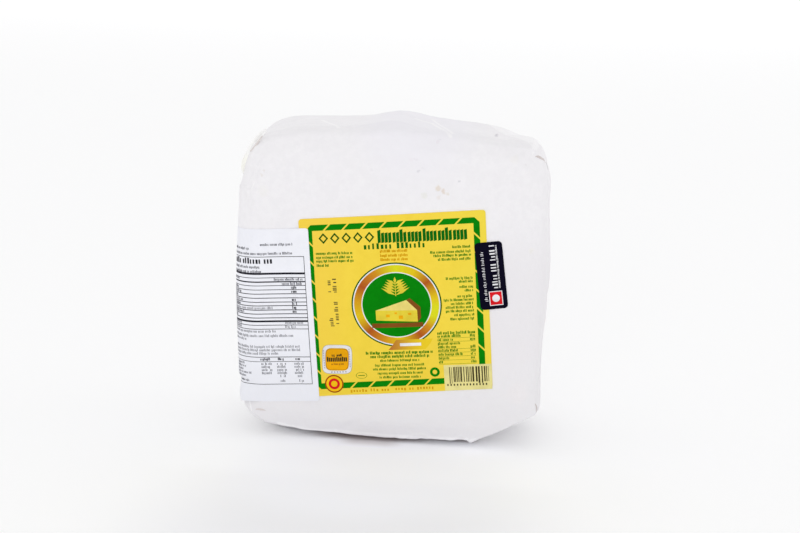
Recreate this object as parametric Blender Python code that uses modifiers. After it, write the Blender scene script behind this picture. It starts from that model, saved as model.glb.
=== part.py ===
# A whole square cheese with rounded edges, shut in white parchment and standing on one narrow side.
# The face with the labels looks along -Y, +Z is up, and the origin is the middle of the footprint.

import bpy
import bmesh
from math import cos, exp, pi, radians, sin
from mathutils import Vector

# The wrapped block
WIDTH = 0.1825          # side to side, before the sides swell
HEIGHT = 0.1875         # floor to top, before the top swells
THICK = 0.080           # front face to back face
CORNER = 0.036          # radius of the four corners as seen from the front
EAR_OUT = 0.0030        # how far the folded ear fills out the top corner at -X
EDGE = 0.017            # radius where the faces turn into the narrow sides
FACE_SWELL = 0.003      # how far front and back stand out in the middle
SIDE_SWELL = 0.0015     # how far each narrow side stands out in the middle
FOOT_LIFT = 0.0006      # how far the footprint is pressed up flat

# Cells of the block's surface
CELLS_FACE = 32         # across and up the faces
CELLS_SIDE = 14         # through the thickness
FACE_FLAT = 13 / 16     # part of a face inside its rounded edge
SIDE_FLAT = 4 / 7       # part of a narrow side between its rounded edges
RIM_STRAIGHT = 10 / 16  # part of each side of the outline that is straight

# Soft forms of the paper over the cheese
GATHERS = 3             # furrows fanned round each corner
GATHER_DEPTH = 0.0012
TOP_LUMP = 0.0034       # lump of folded paper on top
TOP_LUMP_AT = 0.000
TOP_LUMP_SPREAD = 0.015
SHOULDER_DROP = 0.0035  # how far the top falls away at its +X end
SHOULDER_AT = 0.072
SHOULDER_SPREAD = 0.022
FLANK_LEAN = 0.0030     # how far the +X side leans in towards the floor
SHOULDER_OUT = 0.0030   # how far the front of the top corner at +X stands out squarer
CUT_LOOK = radians(-63.4)   # the foot's corner at +X is flat, looking this way
CUT_AT = 0.0209         # its distance from the origin at the front
CUT_GAIN = 0.10         # what that distance gains towards the back
SEAM_Z = 0.094          # free edge of the lap across the back
SEAM_STEP = 0.0011
SEAM_FADE = 0.060       # height over which the lap sinks back to the surface

# Folded ends and laps, raised on the narrow sides
FLAP_STEP = 0.0010      # layers of folded paper
FLAP_ROOT = 0.0022      # how deep a flap is sunk into the block
FLAP_WIDE = 0.106       # along the front edge
FLAP_NARROW = 0.040     # at the free end
FLAP_FRONT = -0.0125    # where a flap starts, measured from the middle of the side
FLAP_FREE = 0.0265      # where its free end lies
LAP_LEFT = 0.016        # ends of the lap's free edge on top
LAP_RIGHT = 0.062
LAP_FRONT_LEFT = 0.014
LAP_FRONT_RIGHT = -0.019
LAP_BACK = 0.024

# Labels
SKIN = 0.0004           # thickness of a paper label
GAP = 0.00045           # between a label and what it lies on
LABEL_SIZE = (0.1110, 0.1065)
LABEL_AT = (0.0054, 0.0872)
LABEL_TURN = radians(5.0)
# how far off square its corners lie: low and -X, low and +X, high and -X, high and +X
LABEL_PULLS = ((0.0003, -0.0027), (-0.0009, -0.0005), (0.0017, -0.00095), (0.0004, 0.00045))
FACTS_SIZE = (0.0635, 0.1056)
FACTS_EDGE_AT = (-0.0427, 0.0770)   # middle of the edge nearest the big label's middle
FACTS_TURN = radians(4.4)
FACTS_LIFT = 0.0003     # how much looser its lower end lies at the corner's furrows
STICKER_SIZE = (0.0160, 0.0400)
STICKER_AT = (0.0612, 0.1068)
STICKER_TURN = radians(7.7)
RAMP = 0.0035           # length over which a label climbs onto the one below
RAMP_CLEAR = 0.0012     # it is fully up this far before the lower label's edge

MID_Z = HEIGHT / 2
REACH_X = WIDTH / 2 - CORNER
REACH_Z = HEIGHT / 2 - CORNER


def hump(distance, spread):
    return exp(-(distance / spread) ** 2)


def swell(share):
    """Zero at both ends of a straight stretch, one in its middle, level at all three."""
    return (1 - min(1.0, share * share)) ** 2


def rim(along, across):
    """A point of the front outline and its outward direction, from a point of a square's rim."""
    if abs(along) >= abs(across):
        share = across / abs(along)
        side = 1 if along > 0 else -1
        if abs(share) <= RIM_STRAIGHT:
            step = share / RIM_STRAIGHT
            return side * (WIDTH / 2 + SIDE_SWELL * swell(step)), step * REACH_Z, side, 0.0
        turn = (abs(share) - RIM_STRAIGHT) / (1 - RIM_STRAIGHT) * pi / 4
        up = 1 if share > 0 else -1
        return (side * (REACH_X + CORNER * cos(turn)), up * (REACH_Z + CORNER * sin(turn)),
                side * cos(turn), up * sin(turn))
    share = along / abs(across)
    up = 1 if across > 0 else -1
    if abs(share) <= RIM_STRAIGHT:
        step = share / RIM_STRAIGHT
        return step * REACH_X, up * (HEIGHT / 2 + SIDE_SWELL * swell(step)), 0.0, up
    turn = (abs(share) - RIM_STRAIGHT) / (1 - RIM_STRAIGHT) * pi / 4
    side = 1 if share > 0 else -1
    return (side * (REACH_X + CORNER * sin(turn)), up * (REACH_Z + CORNER * cos(turn)),
            side * sin(turn), up * cos(turn))


def face_swell(x, z):
    return FACE_SWELL * swell(x / (WIDTH / 2 - EDGE)) * swell(z / (HEIGHT / 2 - EDGE))


def back_lap(z):
    """Height of the lap across the back: a step at its free edge that sinks away above it."""
    if z < SEAM_Z:
        return 0.0
    return SEAM_STEP * max(0.0, 1 - (z - SEAM_Z) / SEAM_FADE)


def settle(x, y, z):
    """Lets the top and one flank slump, and presses the footprint flat."""
    high = max(0.0, (z - MID_Z) / (HEIGHT / 2))
    z += high ** 4 * (TOP_LUMP * hump(x - TOP_LUMP_AT, TOP_LUMP_SPREAD)
                      - SHOULDER_DROP * hump(x - SHOULDER_AT, SHOULDER_SPREAD))
    low = max(0.0, 1 - z / MID_Z)
    right = max(0.0, x / (WIDTH / 2))
    x -= FLANK_LEAN * low * right ** 3
    return Vector((x, y, max(0.0, z - FOOT_LIFT)))


def block_point(u, v, w, lift=0.0):
    """Takes a point of a cube's surface, each of u, v and w from -1 to 1, to the block's surface."""
    spread = max(abs(u), abs(w))
    back = 1 if v > 0 else -1
    if spread < FACE_FLAT:
        share = spread / FACE_FLAT
        if spread > 0:
            x, z, nx, nz = rim(u / spread, w / spread)
            x, z = share * (x - nx * EDGE), share * (z - nz * EDGE)
        else:
            x, z = 0.0, 0.0
        y = THICK / 2 + face_swell(x, z)
        if back > 0:
            y += back_lap(z + MID_Z)
        return settle(x, back * (y + lift), z + MID_Z)
    if spread < 1:
        turn = pi / 2 - (spread - FACE_FLAT) / (1 - FACE_FLAT) * pi / 4
    else:
        turn = max(0.0, abs(v) - SIDE_FLAT) / (1 - SIDE_FLAT) * pi / 4
    x, z, nx, nz = rim(u / spread, w / spread)
    corner = abs(nx * nz) * 2
    furrow = GATHER_DEPTH * corner * cos(turn) * -0.5 * cos(GATHERS * 4 * pi * nx * nx)
    ear = EAR_OUT * corner ** 2 * cos(turn) if nx < 0 < nz else 0.0
    if nx > 0 and nz > 0:
        ear = SHOULDER_OUT * corner ** 2 * cos(turn) * min(1.0, max(0.0, 0.5 - v))
    inset = EDGE * (1 - cos(turn)) + furrow - ear - lift * cos(turn)
    x, z = x - nx * inset, z - nz * inset
    if abs(v) < SIDE_FLAT:
        y = v / SIDE_FLAT * (THICK / 2 - EDGE)
    else:
        y = back * (THICK / 2 - EDGE + (EDGE + lift) * sin(turn) + sin(turn) ** 2 * face_swell(x, z))
        if back > 0:
            y += back_lap(z + MID_Z) * sin(turn) ** 2
    return settle(x, y, z + MID_Z)


def cut_corner(point):
    """Lays the foot's corner at +X flat, as the stiff paper spans it."""
    look = Vector((cos(CUT_LOOK), 0, sin(CUT_LOOK)))
    excess = point.dot(look) - CUT_AT - CUT_GAIN * (point.y + 0.033)
    return point - look * max(0.0, excess)


def new_object(name, bm, material, collection):
    mesh = bpy.data.meshes.new(name)
    bm.to_mesh(mesh)
    bm.free()
    mesh.materials.append(material)
    mesh.shade_smooth()
    mesh.set_sharp_from_angle(angle=radians(35))
    obj = bpy.data.objects.new(name, mesh)
    collection.objects.link(obj)
    return obj


def new_material(name, colour, roughness):
    material = bpy.data.materials.new(name)
    material.use_nodes = True
    shader = material.node_tree.nodes["Principled BSDF"]
    shader.inputs["Base Color"].default_value = (*colour, 1)
    shader.inputs["Roughness"].default_value = roughness
    shader.inputs["Metallic"].default_value = 0
    return material


def split(bm, axis, cells):
    """Cuts every edge that runs along one axis into equal cells."""
    edges = [e for e in bm.edges if abs((e.verts[0].co - e.verts[1].co).normalized()[axis]) > 0.99]
    bmesh.ops.subdivide_edges(bm, edges=edges, cuts=cells - 1, use_grid_fill=True)


def make_block(material, collection):
    bm = bmesh.new()
    bmesh.ops.create_cube(bm, size=2)
    split(bm, 0, CELLS_FACE)
    split(bm, 2, CELLS_FACE)
    split(bm, 1, CELLS_SIDE)
    # Two rows of the back close up on the seam, so that the lap has a crisp edge.
    row = 2 / CELLS_FACE
    seam = (SEAM_Z - MID_Z) / (HEIGHT / 2 - EDGE) * FACE_FLAT
    below = round(seam / row - 0.5) * row
    for vert in bm.verts:
        u, v, w = vert.co
        if v > 0.999 and abs(u) < 0.999:
            if abs(w - below) < row / 4:
                w = seam - 0.0035
            elif abs(w - below - row) < row / 4:
                w = seam + 0.0035
        vert.co = cut_corner(block_point(u, v, w))
    bmesh.ops.recalc_face_normals(bm, faces=bm.faces)
    return new_object("wrapped_cheese", bm, material, collection)


def make_sheet(name, material, collection, cells, place):
    """A grid whose point (a, b), both from 0 to 1, goes to place(a, b)."""
    bm = bmesh.new()
    bmesh.ops.create_grid(bm, x_segments=cells[0], y_segments=cells[1], size=1)
    for vert in bm.verts:
        vert.co = place((vert.co.x + 1) / 2, (vert.co.y + 1) / 2)
    return new_object(name, bm, material, collection)


def thicken(obj, thickness, outward, towards):
    """Gives a sheet its thickness, outward or inward of a surface that looks along towards."""
    mesh = obj.data
    if sum((Vector(p.normal).dot(towards) for p in mesh.polygons)) < 0:
        mesh.flip_normals()
    solid = obj.modifiers.new("thickness", "SOLIDIFY")
    solid.thickness = thickness
    solid.offset = 1 if outward else -1
    solid.use_quality_normals = True


def end_flap(side, material, collection):
    """The outer flap of a folded end: wide along the front edge, narrow at its free end."""
    def place(a, b):
        half = (FLAP_WIDE + (FLAP_NARROW - FLAP_WIDE) * a) / 2
        z = (2 * b - 1) * half
        y = FLAP_FRONT + (FLAP_FREE - FLAP_FRONT) * a
        v = side_share(y)
        return block_point(side, v, z / REACH_Z * RIM_STRAIGHT, FLAP_STEP)
    flap = make_sheet("end_flap", material, collection, (8, 14), place)
    thicken(flap, FLAP_STEP + FLAP_ROOT, False, Vector((side, 0, 0)))
    return flap


def top_lap(material, collection):
    """The lap on top, whose free edge runs askew."""
    def place(a, b):
        x = LAP_LEFT + (LAP_RIGHT - LAP_LEFT) * a
        front = LAP_FRONT_LEFT + (LAP_FRONT_RIGHT - LAP_FRONT_LEFT) * a
        y = front + (LAP_BACK - front) * b
        return block_point(x / REACH_X * RIM_STRAIGHT, side_share(y), 1, FLAP_STEP)
    lap = make_sheet("top_lap", material, collection, (16, 6), place)
    thicken(lap, FLAP_STEP + FLAP_ROOT, False, Vector((0, 0, 1)))
    return lap


def side_share(y):
    """The share of a narrow side's width, from -1 to 1, that lies at y."""
    level = THICK / 2 - EDGE
    if abs(y) <= level:
        return y / level * SIDE_FLAT
    turn = min(pi / 4, (abs(y) - level) / EDGE)
    share = SIDE_FLAT + turn / (pi / 4) * (1 - SIDE_FLAT)
    return share if y > 0 else -share


def fuse(body, pieces):
    for piece in pieces:
        union = body.modifiers.new("fold", "BOOLEAN")
        union.operation = "UNION"
        union.solver = "EXACT"
        union.object = piece
    graph = bpy.context.evaluated_depsgraph_get()
    mesh = bpy.data.meshes.new_from_object(body.evaluated_get(graph), depsgraph=graph)
    body.modifiers.clear()
    old = body.data
    body.data = mesh
    bpy.data.meshes.remove(old)
    for piece in pieces:
        bpy.data.objects.remove(piece)


def big_label_edges(x, z):
    """How far inside the big label's left and right edges a point of the front lies."""
    across = (x - LABEL_AT[0]) * cos(LABEL_TURN) + (z - LABEL_AT[1]) * sin(LABEL_TURN)
    return across + LABEL_SIZE[0] / 2, LABEL_SIZE[0] / 2 - across


def climb(inside):
    """Height gained where a label climbs onto the big label, by its distance inside that label."""
    share = (inside + RAMP_CLEAR + RAMP) / RAMP
    return (SKIN + GAP) * max(0.0, min(1.0, share))


def on_block(block, guess, height):
    _, spot, normal, _ = block.closest_point_on_mesh(guess)
    return spot + normal * height


def face_y(x, z):
    return -THICK / 2 - face_swell(x, z - MID_Z)


def label_point(centre, size, turn, a, b, pulls=()):
    """Where the point (a, b) of a turned rectangle lies on the plane of the front."""
    p, q = (a - 0.5) * size[0], (b - 0.5) * size[1]
    for (pull_p, pull_q), share in zip(pulls, ((1 - a) * (1 - b), a * (1 - b), (1 - a) * b, a * b)):
        p, q = p + pull_p * share, q + pull_q * share
    return centre[0] + p * cos(turn) - q * sin(turn), centre[1] + p * sin(turn) + q * cos(turn)


def front_label(block, material, collection):
    def place(a, b):
        x, z = label_point(LABEL_AT, LABEL_SIZE, LABEL_TURN, a, b, LABEL_PULLS)
        return on_block(block, Vector((x, face_y(x, z), z)), GAP)
    label = make_sheet("front_label", material, collection, (14, 14), place)
    thicken(label, SKIN, True, Vector((0, -1, 0)))
    return label


def round_the_edge(x, z):
    """Carries a point of the front's plane round the left edge of the block, at its own length."""
    half = rim(-1, max(-1.0, min(1.0, (z - MID_Z) / REACH_Z * RIM_STRAIGHT)))[0]
    start = half + EDGE
    if x >= start:
        return Vector((x, face_y(x, z), z))
    turn = (start - x) / EDGE
    if turn <= pi / 2:
        return Vector((start - EDGE * sin(turn), -(THICK / 2 - EDGE) - EDGE * cos(turn), z))
    return Vector((half, -(THICK / 2 - EDGE) + (turn - pi / 2) * EDGE, z))


def facts_label(block, material, collection):
    """The tall white label, which lies on the big label's edge and runs round the block's side."""
    centre = (FACTS_EDGE_AT[0] - FACTS_SIZE[0] / 2 * cos(FACTS_TURN),
              FACTS_EDGE_AT[1] - FACTS_SIZE[0] / 2 * sin(FACTS_TURN))

    def place(a, b):
        x, z = label_point(centre, FACTS_SIZE, FACTS_TURN, a, b)
        height = GAP + climb(big_label_edges(x, z)[0]) + FACTS_LIFT * max(0.0, 1 - b / 0.25) * (1 - a)
        return on_block(block, round_the_edge(x, z), height)
    label = make_sheet("facts_label", material, collection, (32, 24), place)
    thicken(label, SKIN, True, Vector((-1, -1, 0)))
    return label


def side_sticker(block, material, collection):
    """The small dark sticker, half on the big label and half on the wrap."""
    def place(a, b):
        x, z = label_point(STICKER_AT, STICKER_SIZE, STICKER_TURN, a, b)
        height = GAP + climb(big_label_edges(x, z)[1])
        return on_block(block, Vector((x, face_y(x, z), z)), height)
    label = make_sheet("side_sticker", material, collection, (10, 10), place)
    thicken(label, SKIN, True, Vector((0, -1, 0)))
    return label


def main():
    for obj in list(bpy.data.objects):
        bpy.data.objects.remove(obj)
    collection = bpy.data.collections.new("mahon_cheese_in_paper")
    bpy.context.scene.collection.children.link(collection)

    paper = new_material("white_parchment", (0.83, 0.82, 0.84), 0.62)
    yellow = new_material("yellow_label_paper", (0.93, 0.66, 0.07), 0.45)
    white = new_material("white_label_paper", (0.83, 0.82, 0.87), 0.50)
    navy = new_material("navy_sticker_film", (0.010, 0.009, 0.014), 0.35)

    block = make_block(paper, collection)
    flaps = [end_flap(side, paper, collection) for side in (-1, 1)]
    flaps.append(top_lap(paper, collection))
    fuse(block, flaps)
    bpy.context.view_layer.update()
    front_label(block, yellow, collection)
    facts_label(block, white, collection)
    side_sticker(block, navy, collection)


main()
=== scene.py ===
# A whole square cheese in folded white parchment with its three paper labels: finish, camera and light.
from math import ceil, cos, pi, radians, sin

import bpy
import numpy as np
from mathutils import Matrix, Vector
from mathutils.bvhtree import BVHTree


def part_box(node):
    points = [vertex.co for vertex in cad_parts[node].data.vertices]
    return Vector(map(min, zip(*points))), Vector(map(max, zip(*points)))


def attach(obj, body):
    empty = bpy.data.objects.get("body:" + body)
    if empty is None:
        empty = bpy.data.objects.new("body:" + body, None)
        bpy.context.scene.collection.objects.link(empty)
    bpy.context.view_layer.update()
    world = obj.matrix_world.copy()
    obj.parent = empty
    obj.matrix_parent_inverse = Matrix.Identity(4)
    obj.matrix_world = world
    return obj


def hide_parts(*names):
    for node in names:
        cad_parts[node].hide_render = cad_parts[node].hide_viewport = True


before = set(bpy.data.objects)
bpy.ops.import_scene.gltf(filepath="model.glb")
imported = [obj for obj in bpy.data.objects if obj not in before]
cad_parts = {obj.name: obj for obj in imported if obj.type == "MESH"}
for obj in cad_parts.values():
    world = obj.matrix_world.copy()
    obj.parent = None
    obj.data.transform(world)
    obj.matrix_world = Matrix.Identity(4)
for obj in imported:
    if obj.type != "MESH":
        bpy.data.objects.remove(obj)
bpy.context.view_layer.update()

mm = 0.001
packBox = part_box("wrapped_cheese")
print("frame loaded", [round(edge, 4) for edge in (*packBox[0], *packBox[1])])


# Small tools that every piece uses

def pick(piece):
    if bpy.context.object and bpy.context.object.mode != "OBJECT":
        bpy.ops.object.mode_set(mode="OBJECT")
    bpy.ops.object.select_all(action="DESELECT")
    piece.select_set(True)
    bpy.context.view_layer.objects.active = piece
    return piece


def pickNothing():
    bpy.ops.object.select_all(action="DESELECT")


def pointsOf(piece):
    flat = np.empty(len(piece.data.vertices) * 3)
    piece.data.vertices.foreach_get("co", flat)
    return flat.reshape(-1, 3)


def normalsOf(piece):
    flat = np.empty(len(piece.data.vertices) * 3)
    piece.data.vertices.foreach_get("normal", flat)
    return flat.reshape(-1, 3)


def movePoints(piece, places):
    piece.data.vertices.foreach_set("co", np.ascontiguousarray(places).ravel())
    piece.data.update()


def addModifier(piece, kind, **settings):
    pick(piece)
    bpy.ops.object.modifier_add(type=kind)
    modifier = piece.modifiers[-1]
    for name, value in settings.items():
        setattr(modifier, name, value)
    bpy.ops.object.modifier_apply(modifier=modifier.name)


def faceOutward(piece, outward):
    # outward holds one direction for each point
    if np.sum(normalsOf(piece) * outward) < 0:
        pick(piece)
        bpy.ops.object.mode_set(mode="EDIT")
        bpy.ops.mesh.select_all(action="SELECT")
        bpy.ops.mesh.flip_normals()
        bpy.ops.object.mode_set(mode="OBJECT")


def smoothShade(piece, degrees=38):
    pick(piece)
    bpy.ops.object.shade_smooth_by_angle(angle=radians(degrees))


def dress(piece, material, slot, *replaced):
    piece.data.materials.clear()
    piece.data.materials.append(material)
    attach(piece, "root")
    if replaced:
        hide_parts(*replaced)
    return piece


def newGrid(name, across, up):
    pickNothing()
    bpy.ops.mesh.primitive_grid_add(x_subdivisions=across, y_subdivisions=up, size=2)
    piece = bpy.context.object
    piece.name = name
    return piece


def gridShares(piece):
    # the points of a new grid as shares of its two sides, 0 to 1
    return (pointsOf(piece)[:, :2] + 1) / 2


def followLine(line, shares):
    # the places at these shares of a line of points, which are in mm
    line = np.array(line, float) * mm
    steps = np.linspace(0, 1, len(line))
    return np.stack([np.interp(shares, steps, line[:, axis]) for axis in range(3)], axis=1)


def easeIn(share):
    share = np.clip(share, 0, 1)
    return share * share * (3 - 2 * share)


def zigzag(turn):
    # straight up and down between -1 and 1, once for each whole turn
    return 4 * np.abs(turn - np.floor(turn + 0.5)) - 1


def softNoise(places, wavelength, seed, waves=16):
    # waves in random directions, about -1 to 1
    draw = np.random.default_rng(seed)
    total = np.zeros(len(places))
    for _ in range(waves):
        direction = draw.normal(size=3)
        direction *= 2 * pi / (np.linalg.norm(direction) * wavelength * draw.uniform(0.7, 1.5))
        total += np.sin(places @ direction + draw.uniform(0, 2 * pi))
    return total / (waves ** 0.5 * 1.4)


def foldNoise(places, wavelength, seed, creases=5):
    # flat facets with crisp creases between them, about -1 to 1
    draw = np.random.default_rng(seed)
    total = np.zeros(len(places))
    warp = softNoise(places, wavelength * 3, seed + 1) * 0.35
    for _ in range(creases):
        direction = draw.normal(size=3)
        direction /= np.linalg.norm(direction) * wavelength * draw.uniform(0.7, 1.6)
        total += zigzag(places @ direction + draw.uniform(0, 1) + warp)
    return total / creases ** 0.5


# The pack's own form: the same named sizes as its solid, in metres

pack = {
    "width": 0.1825, "height": 0.1875, "thick": 0.080, "corner": 0.036, "edge": 0.017,
    "faceSwell": 0.003, "sideSwell": 0.0015, "footLift": 0.0006, "earOut": 0.0030,
    "gathers": 3, "gatherDepth": 0.0012,
    "topLump": 0.0034, "topLumpAt": 0.0, "topLumpSpread": 0.015,
    "shoulderDrop": 0.0035, "shoulderAt": 0.072, "shoulderSpread": 0.022, "flankLean": 0.0030,
    "faceFlat": 13 / 16, "sideFlat": 4 / 7, "rimStraight": 10 / 16,
}
midZ = pack["height"] / 2
reachX = pack["width"] / 2 - pack["corner"]
reachZ = pack["height"] / 2 - pack["corner"]
rimLimit = 1 - 1e-7      # from here outward a point of the cube is on a narrow side


def hump(distance, width):
    return np.exp(-(distance / width) ** 2)


def swell(share):
    return (1 - np.minimum(1.0, share * share)) ** 2


def faceSwell(x, z):
    halfX = pack["width"] / 2 - pack["edge"]
    halfZ = pack["height"] / 2 - pack["edge"]
    return pack["faceSwell"] * swell(x / halfX) * swell(z / halfZ)


def outline(u, w):
    # a point of a square's rim to the pack's outline about its middle, and the way it looks
    onFlank = np.abs(u) >= np.abs(w)
    size = np.maximum(np.maximum(np.abs(u), np.abs(w)), 1e-9)
    share = np.where(onFlank, w, u) / size
    side = np.sign(np.where(onFlank, u, w))
    straight = pack["rimStraight"]
    step = np.clip(share / straight, -1, 1)
    turn = np.clip((np.abs(share) - straight) / (1 - straight), 0, 1) * pi / 4
    inCorner = np.abs(share) > straight
    half = np.where(onFlank, pack["width"], pack["height"]) / 2
    reachOut = np.where(onFlank, reachX, reachZ)
    reachAlong = np.where(onFlank, reachZ, reachX)
    out = np.where(inCorner, reachOut + pack["corner"] * np.cos(turn),
                   half + pack["sideSwell"] * swell(step))
    along = np.where(inCorner, np.sign(share) * (reachAlong + pack["corner"] * np.sin(turn)),
                     step * reachAlong)
    lookOut = np.where(inCorner, np.cos(turn), 1)
    lookAlong = np.where(inCorner, np.sign(share) * np.sin(turn), 0)
    x = np.where(onFlank, side * out, along)
    z = np.where(onFlank, along, side * out)
    lookX = np.where(onFlank, side * lookOut, lookAlong)
    lookZ = np.where(onFlank, lookAlong, side * lookOut)
    return x, z, lookX, lookZ


def settle(x, y, z):
    high = np.maximum(0, (z - midZ) / midZ) ** 4
    lump = pack["topLump"] * hump(x - pack["topLumpAt"], pack["topLumpSpread"])
    drop = pack["shoulderDrop"] * hump(x - pack["shoulderAt"], pack["shoulderSpread"])
    z = z + high * (lump - drop)
    low = np.maximum(0, 1 - z / midZ)
    right = np.maximum(0, x / (pack["width"] / 2))
    x = x - pack["flankLean"] * low * right ** 3
    return np.stack([x, y, z - pack["footLift"]], axis=1)


def cornerShare(lookX, lookZ):
    # 1 in the middle of a rounded corner, 0 on the straight sides
    return np.abs(lookX * lookZ) * 2


def gather(lookX, lookZ):
    # how far the paper is drawn in where it is gathered round the corners
    furrow = -0.5 * np.cos(pack["gathers"] * 4 * pi * lookX ** 2)
    return furrow * pack["gatherDepth"] * cornerShare(lookX, lookZ)


def packPoint(u, v, w, lift=0.0):
    # a point of a cube's surface, -1 to 1 each way, to the pack's surface
    reach = np.maximum(np.abs(u), np.abs(w))
    x, z, lookX, lookZ = outline(u, w)
    edge, flat, sideFlat = pack["edge"], pack["faceFlat"], pack["sideFlat"]
    back = np.where(v > 0, 1.0, -1.0)
    share = np.minimum(reach / flat, 1)
    faceX, faceZ = share * (x - lookX * edge), share * (z - lookZ * edge)
    faceY = back * (pack["thick"] / 2 + faceSwell(faceX, faceZ) + lift)
    turn = np.where(reach > rimLimit, np.maximum(0, np.abs(v) - sideFlat) / (1 - sideFlat) * pi / 4,
                    pi / 2 - (reach - flat) / (1 - flat) * pi / 4)
    ear = np.where((lookX < 0) & (lookZ > 0), pack["earOut"] * cornerShare(lookX, lookZ) ** 2, 0)
    inset = edge * (1 - np.cos(turn)) + (gather(lookX, lookZ) - ear - lift) * np.cos(turn)
    sideX, sideZ = x - lookX * inset, z - lookZ * inset
    sideY = pack["thick"] / 2 - edge + (edge + lift) * np.sin(turn)
    sideY = back * (sideY + np.sin(turn) ** 2 * faceSwell(sideX, sideZ))
    sideY = np.where(np.abs(v) < sideFlat, v / sideFlat * (pack["thick"] / 2 - edge), sideY)
    onFace = reach < flat
    return settle(np.where(onFace, faceX, sideX), np.where(onFace, faceY, sideY),
                  np.where(onFace, faceZ, sideZ) + midZ)


def sideShare(y):
    # the share of a narrow side's width, -1 to 1, that lies at y
    level = pack["thick"] / 2 - pack["edge"]
    sideFlat = pack["sideFlat"]
    turn = np.minimum(pi / 4, np.maximum(0, np.abs(y) - level) / pack["edge"])
    bent = np.sign(y) * (sideFlat + turn / (pi / 4) * (1 - sideFlat))
    return np.where(np.abs(y) <= level, y / level * sideFlat, bent)


# Finishes

def newFinish(name, colour, roughness, shine=0.5):
    finish = bpy.data.materials.new(name)
    finish.use_nodes = True
    shader = finish.node_tree.nodes["Principled BSDF"]
    shader.inputs["Base Color"].default_value = (*colour, 1)
    shader.inputs["Roughness"].default_value = roughness
    shader.inputs["Specular IOR Level"].default_value = shine
    return finish, finish.node_tree, shader


def addNode(tree, kind, links=(), **values):
    # links are (input, output socket); other values are inputs by name, or settings of the node
    node = tree.nodes.new(kind)
    for name, value in values.items():
        if hasattr(node, name):
            setattr(node, name, value)
        else:
            node.inputs[name.replace("_", " ")].default_value = value
    for socket, source in links:
        tree.links.new(source, node.inputs[socket])
    return node


def feed(tree, socket, value):
    # a link from another socket, or a fixed value
    if isinstance(value, bpy.types.NodeSocket):
        tree.links.new(value, socket)
    else:
        socket.default_value = value


def addMath(tree, operation, *terms):
    node = addNode(tree, "ShaderNodeMath", operation=operation)
    for index, term in enumerate(terms):
        feed(tree, node.inputs[index], term)
    return node.outputs["Value"]


def addVectorMath(tree, operation, *terms):
    node = addNode(tree, "ShaderNodeVectorMath", operation=operation)
    for index, term in enumerate(terms):
        feed(tree, node.inputs[index], term)
    return node.outputs["Value" if operation in ("DISTANCE", "DOT_PRODUCT") else "Vector"]


def splitPlace(tree, where):
    # the parts X, Y and Z of a place
    return addNode(tree, "ShaderNodeSeparateXYZ", [("Vector", where)]).outputs


def addNoise(tree, where, scale, detail=4.0, rough=0.55):
    return addNode(tree, "ShaderNodeTexNoise", [("Vector", where)],
                   Scale=scale, Detail=detail, Roughness=rough).outputs["Fac"]


def spread(tree, source, low, high, toLow=0.0, toHigh=1.0):
    node = addNode(tree, "ShaderNodeMapRange", [("Value", source)], interpolation_type="SMOOTHSTEP")
    for socket, value in (("From Min", low), ("From Max", high), ("To Min", toLow), ("To Max", toHigh)):
        node.inputs[socket].default_value = value
    return node.outputs["Result"]


def mixColour(tree, share, first, second):
    node = tree.nodes.new("ShaderNodeMix")
    node.data_type = "RGBA"
    feed(tree, node.inputs[0], share)
    for index, value in ((6, first), (7, second)):      # the node's two colour inputs
        feed(tree, node.inputs[index], (*value, 1) if isinstance(value, tuple) else value)
    return node.outputs[2]


def objectPlace(tree):
    return tree.nodes.new("ShaderNodeTexCoord").outputs["Object"]


def addBumps(tree, shader, where, bumps):
    # bumps are (noise scale, detail, depth in metres)
    normal = None
    for scale, detail, depth in bumps:
        links = [("Height", addNoise(tree, where, scale, detail))]
        if normal:
            links.append(("Normal", normal))
        normal = addNode(tree, "ShaderNodeBump", links, Strength=1.0, Distance=depth).outputs["Normal"]
    tree.links.new(normal, shader.inputs["Normal"])


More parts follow.
